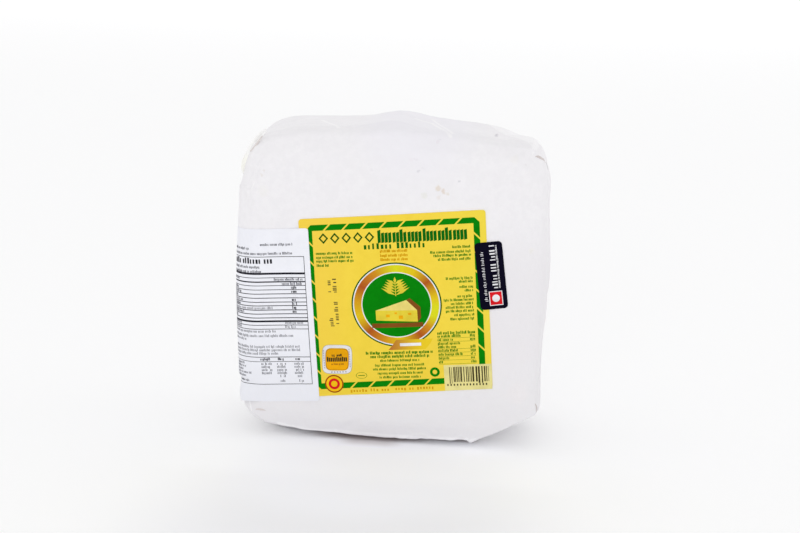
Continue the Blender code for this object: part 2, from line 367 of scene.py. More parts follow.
parchment = {
    "white": (0.852, 0.838, 0.858), "shade": (0.826, 0.812, 0.834), "roughness": 0.62,
    # painted shade, darker toward the foot: how high that reaches, and the share of the shade's colour
    "footReach": 0.085, "footShade": 0.93,
    "wander": 3.6 * mm,      # how far the noise shifts a stain's edge, from side to side
    # place in mm, radius in mm, colour, strength
    "stains": [
        ((29.0, -40, 156.6), 2.3, (0.740, 0.665, 0.585), 0.90),
        ((32.2, -40, 155.0), 1.9, (0.720, 0.630, 0.560), 0.85),
        ((34.6, -40, 153.8), 1.5, (0.745, 0.700, 0.640), 0.70),
        ((21.2, -40, 152.2), 2.6, (0.770, 0.765, 0.730), 0.70),
        ((29.0, -40, 151.4), 1.5, (0.760, 0.700, 0.670), 0.50),
        ((17.0, -40, 165.9), 1.5, (0.600, 0.590, 0.620), 0.90),
        ((19.3, -40, 167.8), 1.0, (0.740, 0.725, 0.750), 0.80),
        ((40.9, -40, 161.2), 1.2, (0.660, 0.650, 0.680), 0.85),
        ((59.4, -11, 184.3), 1.3, (0.580, 0.560, 0.600), 0.95),
        ((26.9, -34, 182.8), 1.5, (0.740, 0.680, 0.710), 0.80),
        ((28.2, -33, 184.3), 1.1, (0.700, 0.690, 0.720), 0.80),
        ((12.8, -40, 172.7), 1.9, (0.790, 0.735, 0.770), 0.60),
        ((15.1, -40, 173.0), 1.2, (0.730, 0.700, 0.730), 0.70),
        ((83.2, -38, 121.8), 1.0, (0.700, 0.690, 0.640), 0.90),
        ((83.2, -38, 121.8), 2.6, (0.850, 0.835, 0.790), 0.60),
        ((72.0, -37, 175.2), 3.4, (0.840, 0.815, 0.790), 0.35),
        ((83.0, -38, 62.0), 10., (0.830, 0.775, 0.805), 0.45),
        ((79.0, -38, 36.0), 9.0, (0.825, 0.780, 0.790), 0.40),
        ((-10.0, -40, 166.0), 1.6, (0.780, 0.765, 0.790), 0.60),
        # a wide soft patch that makes the middle of the top darker and more violet
        ((14.0, -10, 190.0), 44., (0.820, 0.806, 0.858), 0.60),
        # painted shade: this wide soft patch darkens the lower right of the face
        ((72.0, -40, 85.0), 58., (0.794, 0.774, 0.798), 0.85),
        ((-74.0, -39, 150.0), 4.6, (0.845, 0.830, 0.800), 0.35),
        ((-75.0, -38, 159.4), 1.1, (0.740, 0.690, 0.660), 0.55),
        ((-73.4, -38, 162.2), 1.1, (0.745, 0.700, 0.670), 0.55),
        ((78.6, -37, 171.9), 1.0, (0.720, 0.700, 0.720), 0.50),
        ((-30.0, -38, 20.0), 1.3, (0.760, 0.745, 0.770), 0.40),
        ((10.0, 43, 60.0), 2.6, (0.740, 0.650, 0.570), 0.80),
        ((-38.0, 43, 128.0), 1.4, (0.600, 0.590, 0.620), 0.80),
        ((52.0, 43, 40.0), 2.0, (0.770, 0.720, 0.660), 0.70),
        ((93.0, 12, 70.0), 1.8, (0.740, 0.665, 0.600), 0.70),
        ((-93.0, 4, 120.0), 1.6, (0.700, 0.690, 0.715), 0.70),
        ((-20.0, 43, 30.0), 1.6, (0.745, 0.680, 0.620), 0.70),
    ],
    # painted highlights along creases and the foot's fold edge: from, to, radius, all in mm
    "bloom": (0.905, 0.895, 0.905),
    "bloomLines": [
        ((-47.0, 5.0, 187.0), (-32.2, -25.5, 187.3), 1.3), ((10.5, -0.5, 190.8), (20.6, -3.2, 188.7), 1.4),
        ((20.6, -3.2, 188.7), (34.1, -30.6, 185.6), 1.5), ((19.1, 11.4, 189.0), (34.8, -26.4, 186.7), 1.1),
        ((-64.0, -37.5, 7.6), (-55.0, -38, 5.7), 1.5), ((-55.0, -38, 5.7), (-41.0, -38, 4.4), 1.5),
        ((-41.0, -38, 4.4), (-29.0, -38, 4.9), 1.5), ((-29.0, -38, 4.9), (17.0, -38, 4.0), 1.5),
        ((17.0, -38, 4.0), (50.0, -38, 4.8), 1.5), ((52.0, -38, 4.6), (78.0, -37.7, 16.5), 0.7),
        ((-82.1, -37.5, 21.5), (-81.5, -37.6, 18.4), 0.5), ((-81.5, -37.6, 18.4), (-80.8, -37.7, 14.7), 0.5),
        ((-81.2, -37.6, 151.0), (-79.2, -37.5, 155.0), 0.5),
    ],
    "squash": 0.12,      # depth counts for little, so that a speck reaches the paper wherever it lies
}


def paintFootShade(tree, where, colour, tint, share):
    # painted shade: the colour is drawn darker toward the foot
    low = spread(tree, splitPlace(tree, where)["Z"], 0.0, parchment["footReach"], 1.0, 0.0)
    return mixColour(tree, low, colour, tuple(part * share for part in tint))


def addStainsAndShade(tree, where, colour, stains):
    # soft spots whose edges wander with a fine noise: stains, and on the face a wide patch of painted shade
    noise = addNode(tree, "ShaderNodeTexNoise", [("Vector", where)], Scale=460.0, Detail=4.0).outputs["Color"]
    width = parchment["wander"]
    shift = addVectorMath(tree, "MULTIPLY_ADD", noise, (width,) * 3, (-width / 2,) * 3)
    blurred = addVectorMath(tree, "ADD", where, shift)
    squashed = addVectorMath(tree, "MULTIPLY", blurred, (1, parchment["squash"], 1))
    for (x, y, z), radius, tint, strength in stains:
        middle = (x * mm, y * mm * parchment["squash"], z * mm)
        away = addVectorMath(tree, "DISTANCE", squashed, middle)
        share = spread(tree, away, radius * 0.35 * mm, radius * mm, strength, 0.0)
        colour = mixColour(tree, share, colour, tint)
    return colour


def addPaintedHighlights(tree, where, colour):
    # painted highlight: the paper is drawn whiter along sharp creases and the foot's rim
    for start, end, radius in parchment["bloomLines"]:
        run = Vector(end) - Vector(start)
        fromStart = addVectorMath(tree, "SUBTRACT", where, Vector(start) * mm)
        ahead = addVectorMath(tree, "DOT_PRODUCT", fromStart, run / run.length_squared / mm)
        ahead = addMath(tree, "MINIMUM", addMath(tree, "MAXIMUM", ahead, 0.0), 1.0)
        onLine = addVectorMath(tree, "MULTIPLY", ahead, run * mm)
        away = addVectorMath(tree, "DISTANCE", fromStart, onLine)
        share = spread(tree, away, radius * 0.1 * mm, radius * 1.3 * mm, 0.75, 0.0)
        colour = mixColour(tree, share, colour, parchment["bloom"])
    return colour


def parchmentFinish(name, white, shade, stains=(), bloom=False):
    # mottled, cloudy paper with stains and painted shade, and with painted highlights on its creases if asked
    finish, tree, shader = newFinish(name, white, parchment["roughness"])
    where = objectPlace(tree)
    mottle = spread(tree, addNoise(tree, where, 260, 6, 0.62), 0.36, 0.64)
    cloud = spread(tree, addNoise(tree, where, 42, 3), 0.35, 0.65)
    colour = mixColour(tree, mottle, shade, white)
    colour = mixColour(tree, spread(tree, cloud, 0, 1, 0.0, 0.35), colour, shade)
    colour = paintFootShade(tree, where, colour, shade, parchment["footShade"])
    colour = addStainsAndShade(tree, where, colour, stains)
    if bloom:
        colour = addPaintedHighlights(tree, where, colour)
    tree.links.new(colour, shader.inputs["Base Color"])
    addBumps(tree, shader, where, [(95, 3, 0.35 * mm), (420, 4, 0.10 * mm), (1500, 3, 0.03 * mm)])
    return finish


def paperFinish(name, colour, shade, roughness, grain=0.02, shine=0.15, footShade=1.0, drift=()):
    # smooth label paper, faintly cloudy and grainy, with painted shade toward the foot if asked
    finish, tree, shader = newFinish(name, colour, roughness, shine)
    where = objectPlace(tree)
    cloud = spread(tree, addNoise(tree, where, 120, 5, 0.6), 0.34, 0.66)
    mixed = mixColour(tree, cloud, shade, colour)
    for full, faded, tint in drift:      # the print's tone drifts across the label
        share = spread(tree, splitPlace(tree, where)["X"], full, faded, 0.85, 0.0)
        mixed = mixColour(tree, share, mixed, tint)
    if footShade < 1:
        mixed = paintFootShade(tree, where, mixed, shade, footShade)
    tree.links.new(mixed, shader.inputs["Base Color"])
    addBumps(tree, shader, where, [(900, 3, grain * mm), (60, 2, 0.10 * mm)])
    return finish


def inkFinish(name, colour, roughness=0.42):
    shade = tuple(part * 0.86 for part in colour)
    return paperFinish(name, colour, shade, roughness, 0.01, 0.02)


finishes = {
    "parchment": parchmentFinish("whiteParchment", parchment["white"], parchment["shade"],
                                 parchment["stains"], bloom=True),
    # painted light: a lighter copy of the wrap's paper for the thin ear, standing in for light through it;
    # its yellowish stain is its own colour
    "thinParchment": parchmentFinish("thinParchment", (0.93, 0.928, 0.915), (0.92, 0.92, 0.905),
                                     [((-86.5, -29, 164.0), 8.0, (0.915, 0.912, 0.850), 0.9)]),
    # painted light: a lighter copy of the wrap's paper for the top lap, which catches more light
    "paleParchment": parchmentFinish("paleParchment", (0.885, 0.875, 0.888), (0.865, 0.855, 0.872)),
    "slit": parchmentFinish("brownSlitPaper", (0.66, 0.61, 0.59), (0.60, 0.54, 0.53)),
    "paleSlit": parchmentFinish("paleBrownSlitPaper", (0.74, 0.70, 0.68), (0.68, 0.63, 0.61)),
    # painted shadow: grey for the dark line in the fold along the right flank
    "greyPaper": parchmentFinish("greyFoldPaper", (0.62, 0.63, 0.62), (0.58, 0.59, 0.58)),
    "pinkSlit": parchmentFinish("pinkSlitPaper", (0.76, 0.70, 0.69), (0.72, 0.66, 0.65)),
    "yellow": paperFinish("yellowLabelPaper", (0.890, 0.662, 0.056), (0.860, 0.632, 0.048), 0.42,
                          footShade=0.94,
                          drift=[(-44 * mm, -14 * mm, (0.872, 0.612, 0.062)),
                                 (62 * mm, 18 * mm, (0.842, 0.672, 0.056))]),
    "white": paperFinish("whiteLabelPaper", (0.855, 0.862, 0.915), (0.830, 0.837, 0.890), 0.48,
                         footShade=0.945),
    "navy": paperFinish("navyStickerFilm", (0.0034, 0.0028, 0.0120), (0.0026, 0.0021, 0.0098), 0.36,
                        shine=0.02),
    "green": inkFinish("greenInk", (0.002, 0.222, 0.003)),
    "titleGreen": inkFinish("titleGreenInk", (0.003, 0.138, 0.006)),
    "deepGreen": inkFinish("deepGreenInk", (0.003, 0.088, 0.004)),
    "wordGreen": inkFinish("wordGreenInk", (0.022, 0.205, 0.006)),
    "wordBrown": inkFinish("wordBrownInk", (0.680, 0.335, 0.003)),
    "black": inkFinish("blackInk", (0.022, 0.021, 0.028)),
    "thinBlack": inkFinish("thinBlackInk", (0.130, 0.130, 0.150)),
    "barInk": inkFinish("barcodeInk", (0.045, 0.036, 0.014)),
    "greyMark": inkFinish("greyMarkInk", (0.420, 0.410, 0.430)),
    "grey": inkFinish("stampInk", (0.085, 0.072, 0.030)),
    "whiteInk": inkFinish("whiteInk", (0.840, 0.840, 0.860)),
    "pale": inkFinish("paleYellowPatch", (0.810, 0.730, 0.300)),
    "orange": inkFinish("orangeInk", (0.860, 0.400, 0.006)),
    "amber": inkFinish("amberInk", (0.920, 0.540, 0.010)),
    "red": inkFinish("redInk", (0.700, 0.012, 0.018)),
    "darkRed": inkFinish("darkRedInk", (0.330, 0.034, 0.004)),
    "lilac": inkFinish("paleFrameInk", (0.780, 0.770, 0.790)),
    "lightYellow": inkFinish("lightYellowInk", (0.800, 0.640, 0.050)),
    "cream": inkFinish("creamInk", (0.860, 0.720, 0.200)),
    "sealRim": inkFinish("sealRimInk", (0.500, 0.200, 0.006)),
    "rimGrey": inkFinish("rimGreyInk", (0.400, 0.360, 0.270)),
    "rindBrown": inkFinish("rindBrownInk", (0.230, 0.075, 0.012)),
}
print("finishes made")


# The parchment round the cheese

labels = {
    # centre and size on the plane of the front in metres, turn in degrees; pulls are how far off square
    # the corners lie (low left, low right, high left, high right), and foot is how far the blank foot
    # goes on below the printed size
    "front": {"centre": (5.4 * mm, 87.2 * mm), "size": (111 * mm, 106.5 * mm), "turn": 5.0,
              "corner": 1.8 * mm,
              "pulls": [(0.3 * mm, -2.7 * mm), (-0.9 * mm, -0.5 * mm),
                        (1.7 * mm, -0.95 * mm), (0.4 * mm, 0.45 * mm)]},
    "facts": {"rightEdge": (-42.9 * mm, 79.0 * mm), "size": (63.5 * mm, 101.6 * mm), "turn": 4.4,
              "corner": 1.6 * mm, "foot": 4.0 * mm},
    "sticker": {"centre": (61.2 * mm, 106.8 * mm), "size": (16.0 * mm, 40.0 * mm), "turn": 7.7,
                "corner": 2.2 * mm},
}
front, facts, sticker = labels["front"], labels["facts"], labels["sticker"]
# the facts label is placed by the middle of its right edge
facts["centre"] = (facts["rightEdge"][0] - facts["size"][0] / 2 * cos(radians(facts["turn"])),
                   facts["rightEdge"][1] - facts["size"][0] / 2 * sin(radians(facts["turn"])))


def toLabel(which, x, z):
    # the front's plane to a label's own p and q
    turn = radians(which["turn"])
    x, z = x - which["centre"][0], z - which["centre"][1]
    return x * cos(turn) + z * sin(turn), z * cos(turn) - x * sin(turn)


def fromLabel(which, p, q):
    turn = radians(which["turn"])
    return (which["centre"][0] + p * cos(turn) - q * sin(turn),
            which["centre"][1] + p * sin(turn) + q * cos(turn))


def underLabels(places):
    # 1 under the stiff labels and 0 clear of them
    cover = np.zeros(len(places))
    for which in labels.values():
        (wide, tall), foot = which["size"], which.get("foot", 0)
        p, q = toLabel(which, places[:, 0], places[:, 2])
        inside = np.minimum(wide / 2 - np.abs(p), (tall + foot) / 2 - np.abs(q + foot / 2))
        cover = np.maximum(cover, easeIn(inside / (5 * mm) + 0.7))
    return cover * (places[:, 1] < 0)


wrap = {
    "faceCells": (41, 4), "endCells": (14, 4),     # cut in two goes, as a cut has at most 100 lines
    # the paper's unevenness: wavelength and height, and how much the crumple varies from place to place
    "broad": (38 * mm, 0.30 * mm), "crumple": (15 * mm, 0.22 * mm), "fine": (5.0 * mm, 0.05 * mm),
    "patches": (60 * mm, 0.6, 0.4), "calm": 0.9,      # the share that a stiff label takes away under it
    # small folds across the rounded edges and over the foot, drawn out, and where those at the foot fade
    "edgeFolds": (9 * mm, 0.12 * mm), "edgeStretch": [1.0, 0.35, 0.35],
    "footFolds": (13 * mm, 0.12 * mm), "footStretch": [1.0, 0.3, 0.15], "footInward": 0.3,
    "footTop": (26 * mm, 20 * mm), "footClear": 2 * mm,
    # pleats over the corners of the narrow sides: number in a corner and height, how they wander and
    # vary, where they end toward the front, and their share at the top
    "pleats": (9, 0.30 * mm), "pleatWander": (22 * mm, 0.8), "pleatPatches": (30 * mm, 0.7, 0.5),
    "pleatFront": (34 * mm, 14 * mm), "pleatTop": 0.25,
    # folds round the front edges: where the arc ends, in degrees, and at x in mm the top fold's
    # angle and its place forward and outward in shares of the edge's radius
    "foldStart": 20, "topFoldAt": [-80, -62, -43, -21, -4, 10, 23, 36, 50, 60, 72, 84],
    "topFold": ([66, 57, 63, 58, 52, 56, 67, 65, 62, 58, 66, 85],
                [0.45, 0.64, 0.52, 0.62, 0.74, 0.66, 0.42, 0.46, 0.52, 0.60, 0.45, 0.10],
                [0.90, 0.84, 0.91, 0.87, 0.77, 0.83, 0.95, 0.94, 0.92, 0.87, 0.90, 0.995]),
    "topSoft": (-9, -6, -3, 0, 3, 6, 9),
    # the foot's fold hangs just clear of the floor: x and gap in mm
    "footFoldTurn": 55, "footForward": 0.853, "footEnd": 0.955,
    "topWiden": 1.4, "footWiden": 1.5,      # how fast these folds take over as the outline turns
    "footGap": ([-92, -84, -75, -66, -55.5, -48, -41, -30, -20.6, -11.5,
                 6.7, 15.8, 20, 22, 34, 43, 50.2, 51.7, 54, 58, 92],
                [0.4, 0.8, 3.0, 5.4, 5.7, 4.6, 4.5, 4.9, 4.9, 4.6,
                 4.5, 3.8, 3.7, 4.3, 4.1, 4.4, 5.0, 3.7, 2.7, 2.0, 0.3]),
    # the right foot corner is cut straight: which way the cut looks, in degrees below the floor's line,
    # its distance from the footprint's middle in mm, and what it gains a mm farther back
    "cutLook": -63.4, "cutAt": 20.9, "cutGain": 0.10, "cutFrom": -33 * mm,
    # corners, side and height, with steps outward in mm over the angle from flank to top or foot
    "corners": [
        (1, -1, [0, 10, 20, 30, 38, 45, 60, 90], [0.3, 1.3, 3.4, 5.0, 4.9, 3.8, 1.6, 0]),
        (1, 1, [0, 20, 30, 42, 52, 62, 75, 90], [0, 1.2, 3.3, 6.0, 7.0, 4.6, 1.0, 0]),
        (-1, 1, [0, 6, 12, 20, 30, 45, 60, 75, 90], [-0.6, -1.6, -2.2, -2.0, -2.0, -1.0, -2.0, -1.4, 0]),
        (-1, -1, [0, 4, 12, 20, 30, 90], [0, -1.9, -1.9, -0.8, 0, 0]),
    ],
    # where all this fades toward the back, and how far the gathers are taken out of corners that show
    "frontFade": (18 * mm, 24 * mm), "smoothCorners": 0.9,
    # the lower part of the right flank stands out again by this much, below this height
    "unlean": 1.6 * mm, "unleanFade": (70 * mm, 40 * mm),
    # creases on the front: points (x, z) in mm, half width, height, both in mm
    "creases": [
        ([(-81.3, 173.5), (-84.3, 158.6), (-84.2, 143.7), (-77.6, 130.8)], 1.3, 0.55),
        ([(-79.3, 171.0), (-82.0, 158.0), (-82.0, 146.0), (-76.5, 134.0)], 1.1, -0.55),
        ([(-74.4, 168.2), (-77.3, 162.2), (-79.7, 153.2), (-82.0, 144.2)], 1.2, -0.45),
        ([(-38.5, 195.8), (-30.9, 193.2), (-23.8, 187.7)], 1.5, 0.75),
        ([(11.4, 197.0), (16.1, 193.2), (20.8, 189.9)], 1.4, 0.45),
        ([(14.8, 198.3), (23.0, 194.0), (30.7, 190.9)], 1.6, 0.55),
        ([(41.7, 195.3), (51.5, 195.7), (60.3, 193.1), (67.9, 189.4)], 1.5, 0.50),
        ([(69.0, 181.3), (80.6, 179.8), (86.0, 178.0)], 1.6, 0.45),
        ([(75.3, 172.6), (78.2, 171.1), (82.2, 170.4)], 0.9, -0.35),
        ([(92.3, 52.0), (91.0, 37.9), (90.6, 29.0)], 1.2, -0.60),
        ([(-73.7, 20.9), (-50.5, 26.8), (-26.3, 28.3)], 1.8, 0.40),
        ([(33.6, 1.6), (42.5, 4.7), (46.7, 6.9), (51.6, 3.4), (57.5, 8.2)], 1.4, 0.60),
        ([(57.5, 2.5), (75.2, 10.0), (86.9, 17.0)], 1.8, 0.60),
        ([(6.0, 2.0), (20.0, 6.0), (32.0, 5.0)], 1.6, 0.45),
        ([(-73.7, 124.6), (-66.1, 137.0), (-57.3, 149.2), (-51.5, 158.4)], 7.0, 0.55),
        ([(-57.1, 128.5), (-48.4, 143.7), (-33.9, 162.1)], 8.0, -0.45),
    ],
}


def cutEdges(piece, axis, cuts):
    # cuts every edge that runs along one axis
    places = pointsOf(piece)
    ends = np.empty(len(piece.data.edges) * 2, int)
    piece.data.edges.foreach_get("vertices", ends)
    run = np.abs(places[ends[1::2]] - places[ends[::2]])
    bpy.ops.object.mode_set(mode="EDIT")
    bpy.ops.mesh.select_mode(type="EDGE")
    bpy.ops.mesh.select_all(action="DESELECT")
    bpy.ops.object.mode_set(mode="OBJECT")
    piece.data.edges.foreach_set("select", run[:, axis] > 0.9 * run.sum(axis=1))
    bpy.ops.object.mode_set(mode="EDIT")
    bpy.ops.mesh.subdivide(number_cuts=cuts)
    bpy.ops.object.mode_set(mode="OBJECT")


def alongLine(places, line, halfWidth):
    # 1 on a line on the front, fading to 0 beside it and at its two ends
    spot = places[:, [0, 2]]
    ends = np.array(line) * mm
    nearest = np.full(len(spot), 1e9)
    run = np.zeros(len(spot))
    lengths = np.linalg.norm(np.diff(ends, axis=0), axis=1)
    before = 0
    for start, end, length in zip(ends[:-1], ends[1:], lengths):
        share = np.clip((spot - start) @ (end - start) / length ** 2, 0, 1)
        away = np.linalg.norm(spot - start - share[:, None] * (end - start), axis=1)
        run = np.where(away < nearest, (before + share * length) / lengths.sum(), run)
        nearest = np.minimum(nearest, away)
        before += length
    fade = easeIn(run * 4) * easeIn((1 - run) * 4)
    return np.clip(1 - nearest / (halfWidth * mm), 0, 1) ** 1.3 * fade * (places[:, 1] < -12 * mm)


def bentProfile(turn, start, fold, foldForward, foldOutward, endOutward):
    # round the front edge: an arc up to start, a flat to a crisp fold, then a flat to the narrow side
    arc = np.radians(turn)
    begin = radians(start)
    first = np.clip((turn - start) / (fold - start), 0, 1)
    second = np.clip((turn - fold) / (90 - fold), 0, 1)
    forward = np.where(turn < start, np.cos(arc), cos(begin) + first * (foldForward - cos(begin)))
    outward = np.where(turn < start, np.sin(arc), sin(begin) + first * (foldOutward - sin(begin)))
    forward = np.where(turn > fold, foldForward * (1 - second), forward)
    outward = np.where(turn > fold, foldOutward + second * (endOutward - foldOutward), outward)
    return forward, outward


def edgeTurn(v, reach):
    # how far round the edge a point of the cube lies, in degrees: 0 on the face, 90 on the narrow side
    flat, sideFlat = pack["faceFlat"], pack["sideFlat"]
    onFace = np.maximum(0, reach - flat) / (1 - flat) * 45
    onSide = 90 - np.maximum(0, np.abs(v) - sideFlat) / (1 - sideFlat) * 45
    return np.where(reach > rimLimit, onSide, onFace)


def frontFolds(x, turn, lookZ):
    # what the folds along top and foot change, forward and outward, in shares of the edge's radius
    topTurn, topForward, topOutward = (np.interp(x, wrap["topFoldAt"], row) for row in wrap["topFold"])
    topFold = (wrap["foldStart"], topTurn, topForward, topOutward, 1.0)
    top = np.mean([bentProfile(np.clip(turn + step, 0, 90), *topFold) for step in wrap["topSoft"]], axis=0)
    gap = np.interp(x, *wrap["footGap"])
    footOutward = 1 - (gap + pack["footLift"] / mm) / (pack["edge"] / mm)
    foot = bentProfile(turn, wrap["foldStart"], wrap["footFoldTurn"], wrap["footForward"],
                       footOutward, wrap["footEnd"])
    topShare = np.where(turn > 0, np.clip(lookZ * wrap["topWiden"], 0, 1), 0)
    footShare = np.where(turn > 0, np.clip(-lookZ * wrap["footWiden"], 0, 1), 0)
    arc = np.radians(turn)
    return [topShare * (atTop - plain) + footShare * (atFoot - plain)
            for atTop, atFoot, plain in zip(top, foot, (np.cos(arc), np.sin(arc)))]


def cutFoot(places, lookX, lookZ):
    # cuts off the right foot corner
    cut = np.array([cos(radians(wrap["cutLook"])), 0, sin(radians(wrap["cutLook"]))])
    limit = wrap["cutAt"] * mm + wrap["cutGain"] * (places[:, 1] - wrap["cutFrom"])
    excess = np.maximum(0, places @ cut - limit) * (lookZ < 0) * (lookX >= 0)
    return places - excess[:, None] * cut


def foldedEdges(cube, places):
    # the paper bends over the rounded front edges in flats and crisp folds, not in a round arc
    u, v, w = cube.T
    reach = np.maximum(np.abs(u), np.abs(w))
    lookX, lookZ = outline(u, w)[2:]
    turn = edgeTurn(v, reach)
    frontTurn = np.where((v < 0) & (turn < 90), turn, 0)
    deltaForward, deltaOutward = frontFolds(places[:, 0] / mm, frontTurn, lookZ)
    around = np.degrees(np.arctan2(np.abs(lookZ), np.abs(lookX)))          # 0 on a flank, 90 on top or foot
    push = np.zeros(len(places))
    for sideX, sideZ, angles, steps in wrap["corners"]:
        here = (np.sign(lookX) == sideX) & (np.sign(lookZ) == sideZ)
        push += np.where(here, np.interp(around, angles, steps), 0)
    start, reachBack = wrap["frontFade"]
    frontShare = easeIn((start - places[:, 1]) / reachBack)
    outward = pack["edge"] * deltaOutward + push * mm * frontShare * easeIn(reach / pack["faceFlat"] * 2 - 1)
    flatten = np.where(lookZ > 0, 1, frontShare) * np.sin(np.radians(np.where(reach > rimLimit, 90, turn)))
    outward += wrap["smoothCorners"] * gather(lookX, lookZ) * flatten
    moved = places.copy()
    moved[:, 0] += lookX * outward
    moved[:, 1] -= pack["edge"] * deltaForward
    moved[:, 2] += lookZ * outward
    top, reachDown = wrap["unleanFade"]
    low = easeIn((top - places[:, 2]) / reachDown) * easeIn(places[:, 0] / pack["width"] * 4 - 1)
    moved[:, 0] += low * wrap["unlean"] * frontShare
    return cutFoot(moved, lookX, lookZ)


def patchy(places, key, seed):
    wavelength, middle, width = wrap[key]
    return middle + width * softNoise(places, wavelength, seed)


def wrapRelief(places, looks):
    # how far the paper stands out from the smooth pack
    relief = softNoise(places, wrap["broad"][0], 11) * wrap["broad"][1]
    relief += foldNoise(places, wrap["crumple"][0], 21) * wrap["crumple"][1] * patchy(places, "patches", 5)
    relief += softNoise(places, wrap["fine"][0], 31, 24) * wrap["fine"][1]
    steep = np.clip(1 - looks[:, 1] ** 2, 0, 1)                  # 0 on the two faces, 1 on the narrow sides
    rounding = 4 * steep * (1 - steep)                           # 1 on the rounded edges
    drawnOut = places * wrap["edgeStretch"]
    relief += foldNoise(drawnOut, wrap["edgeFolds"][0], 41) * wrap["edgeFolds"][1] * rounding
    top, reach = wrap["footTop"]
    foot = easeIn((top - places[:, 2]) / reach) * easeIn(places[:, 2] / wrap["footClear"])
    drawnOut = places * wrap["footStretch"]
    inward = foldNoise(drawnOut, wrap["footFolds"][0], 51) - wrap["footInward"]
    relief += inward * wrap["footFolds"][1] * foot * steep ** 0.5
    number, height = wrap["pleats"]
    wavelength, wander = wrap["pleatWander"]
    fan = np.arctan2(looks[:, 2], looks[:, 0]) * number * 2 + wander * softNoise(places, wavelength, 61)
    behind, reach = wrap["pleatFront"]
    onSide = easeIn((places[:, 1] + behind) / reach) * np.where(looks[:, 2] > 0, wrap["pleatTop"], 1)
    onSide *= cornerShare(looks[:, 0], looks[:, 2]) ** 1.5 * patchy(places, "pleatPatches", 71)
    relief += zigzag(fan / pi) * height * onSide
    for line, halfWidth, height in wrap["creases"]:
        relief += alongLine(places, line, halfWidth) * height * mm
    return relief * (1 - wrap["calm"] * underLabels(places))


def makeWrap():
    pickNothing()
    bpy.ops.mesh.primitive_cube_add(size=2)
    piece = pick(bpy.context.object)
    piece.name = "paperWrap"
    for axis, cells in ((0, wrap["faceCells"]), (2, wrap["faceCells"]), (1, wrap["endCells"])):
        for count in cells:
            cutEdges(piece, axis, count - 1)
    cube = pointsOf(piece)
    places = foldedEdges(cube, packPoint(cube[:, 0], cube[:, 1], cube[:, 2]))
    movePoints(piece, places)
    faceOutward(piece, places - [0, 0, midZ])
    looks = normalsOf(piece)
    places += looks * wrapRelief(places, looks)[:, None]
    places[:, 2] = np.maximum(places[:, 2], 0)
    movePoints(piece, places)
    smoothShade(piece, 60)
    return dress(piece, finishes["parchment"], "parchment", "wrapped_cheese")


paperWrap = makeWrap()
wrapTree = BVHTree.FromObject(paperWrap, bpy.context.evaluated_depsgraph_get())
castFrom, castReach = 15 * mm, 40 * mm      # rays start above the wrap and look no deeper than this
print("paper wrap made,", len(paperWrap.data.polygons), "faces")


def castOnWrap(places, looks, heights):
    # the wrap's surface under each place, raised by the heights
    laid = np.empty_like(places)
    for index, (place, look, height) in enumerate(zip(places, looks, heights)):
        look = Vector(look)
        spot = wrapTree.ray_cast(Vector(place) + look * castFrom, -look, castReach)[0]
        if spot is None:
            spot = wrapTree.find_nearest(Vector(place))[0]
        laid[index] = spot + look * height
    return laid


# Loose sheets of the same paper: folded ends, laps and ears

sheetThickness = 0.28 * mm
sunk = -0.45 * mm     # a sheet's root lies this far under the wrap's surface, so that it grows out of it


def growOut(lift, share, ends=1.0):
    # a sheet's height: sunk at its root and its full lift farther out
    return sunk + (lift - sunk) * easeIn(share) * ends


def layPackSheet(name, cells, place, height, finish="parchment"):
    # place takes the grid's (a, b), 0 to 1 each, to the cube, and height gives how high the sheet lies
    piece = newGrid(name, *cells)
    a, b = gridShares(piece).T
    u, v, w = place(a, b)
    onPack, above = packPoint(u, v, w), packPoint(u, v, w, 1 * mm)
    looks = (above - onPack) / np.linalg.norm(above - onPack, axis=1)[:, None]
    ripple = softNoise(onPack, folds["ripple"][0], len(name)) * folds["ripple"][1]
    lifts = height(a, b)
    lifts = lifts + ripple * np.clip(lifts / (0.8 * mm), 0, 1)
    movePoints(piece, castOnWrap(onPack, looks, lifts))
    faceOutward(piece, looks)
    addModifier(piece, "SOLIDIFY", thickness=sheetThickness, offset=-1, use_quality_normals=True)
    smoothShade(piece)
    return dress(piece, finishes[finish], "parchment")


folds = {
    "ripple": (14 * mm, 0.35 * mm),      # wavelength and height
    # the flap on each end: how wide it is at its root and its free edge, and where those lie in y
    "wide": 106 * mm, "narrow": 40 * mm, "root": -13.0 * mm, "free": 26.5 * mm, "lift": 0.42 * mm,
    # the tuck under it: widths at root and tip, where it starts past the end's straight part, and length
    "tuckWide": 50 * mm, "tuckNarrow": 16 * mm, "tuckStart": 16 * mm, "tuckReach": 46 * mm,
    "tuckLift": 0.12 * mm,
    # the lap on top: its slanted front edge, x and y in mm
    "lapFront": ([46, 55, 61.5, 67.6, 74.2, 80], [32, 18, 1.6, -10.9, -22.6, -30]), "lapBack": 41 * mm,
    "lapLift": 0.05 * mm,
    # the lap across the back: its foot and top, and how far it goes to each side as a share of the cube
    "seamZ": 94 * mm, "seamTop": 152 * mm, "seamHalf": 0.90, "seamLift": 1.05 * mm,
}


def layEndFlap(side, name):
    def place(a, b):
        half = (folds["wide"] + (folds["narrow"] - folds["wide"]) * a) / 2
        y = folds["root"] + (folds["free"] - folds["root"]) * a
        z = (2 * b - 1) * half
        return np.full_like(a, side), sideShare(y), z / reachZ * pack["rimStraight"]

    def height(a, b):
        return growOut(folds["lift"], a * 2.2)
    return layPackSheet(name, (40, 70), place, height)


def layTuck(side, end, name):
    # the triangular tuck under a flap, from the top or the foot of an end
    def place(a, b):
        half = (folds["tuckWide"] + (folds["tuckNarrow"] - folds["tuckWide"]) * a) / 2
        z = reachZ + folds["tuckStart"] - a * folds["tuckReach"]
        y = (2 * b - 1) * half + 3 * mm * a
        return np.full_like(a, side), sideShare(y), end * z / reachZ * pack["rimStraight"]

    def height(a, b):
        return growOut(folds["tuckLift"], a * 2.5)
    return layPackSheet(name, (40, 40), place, height)


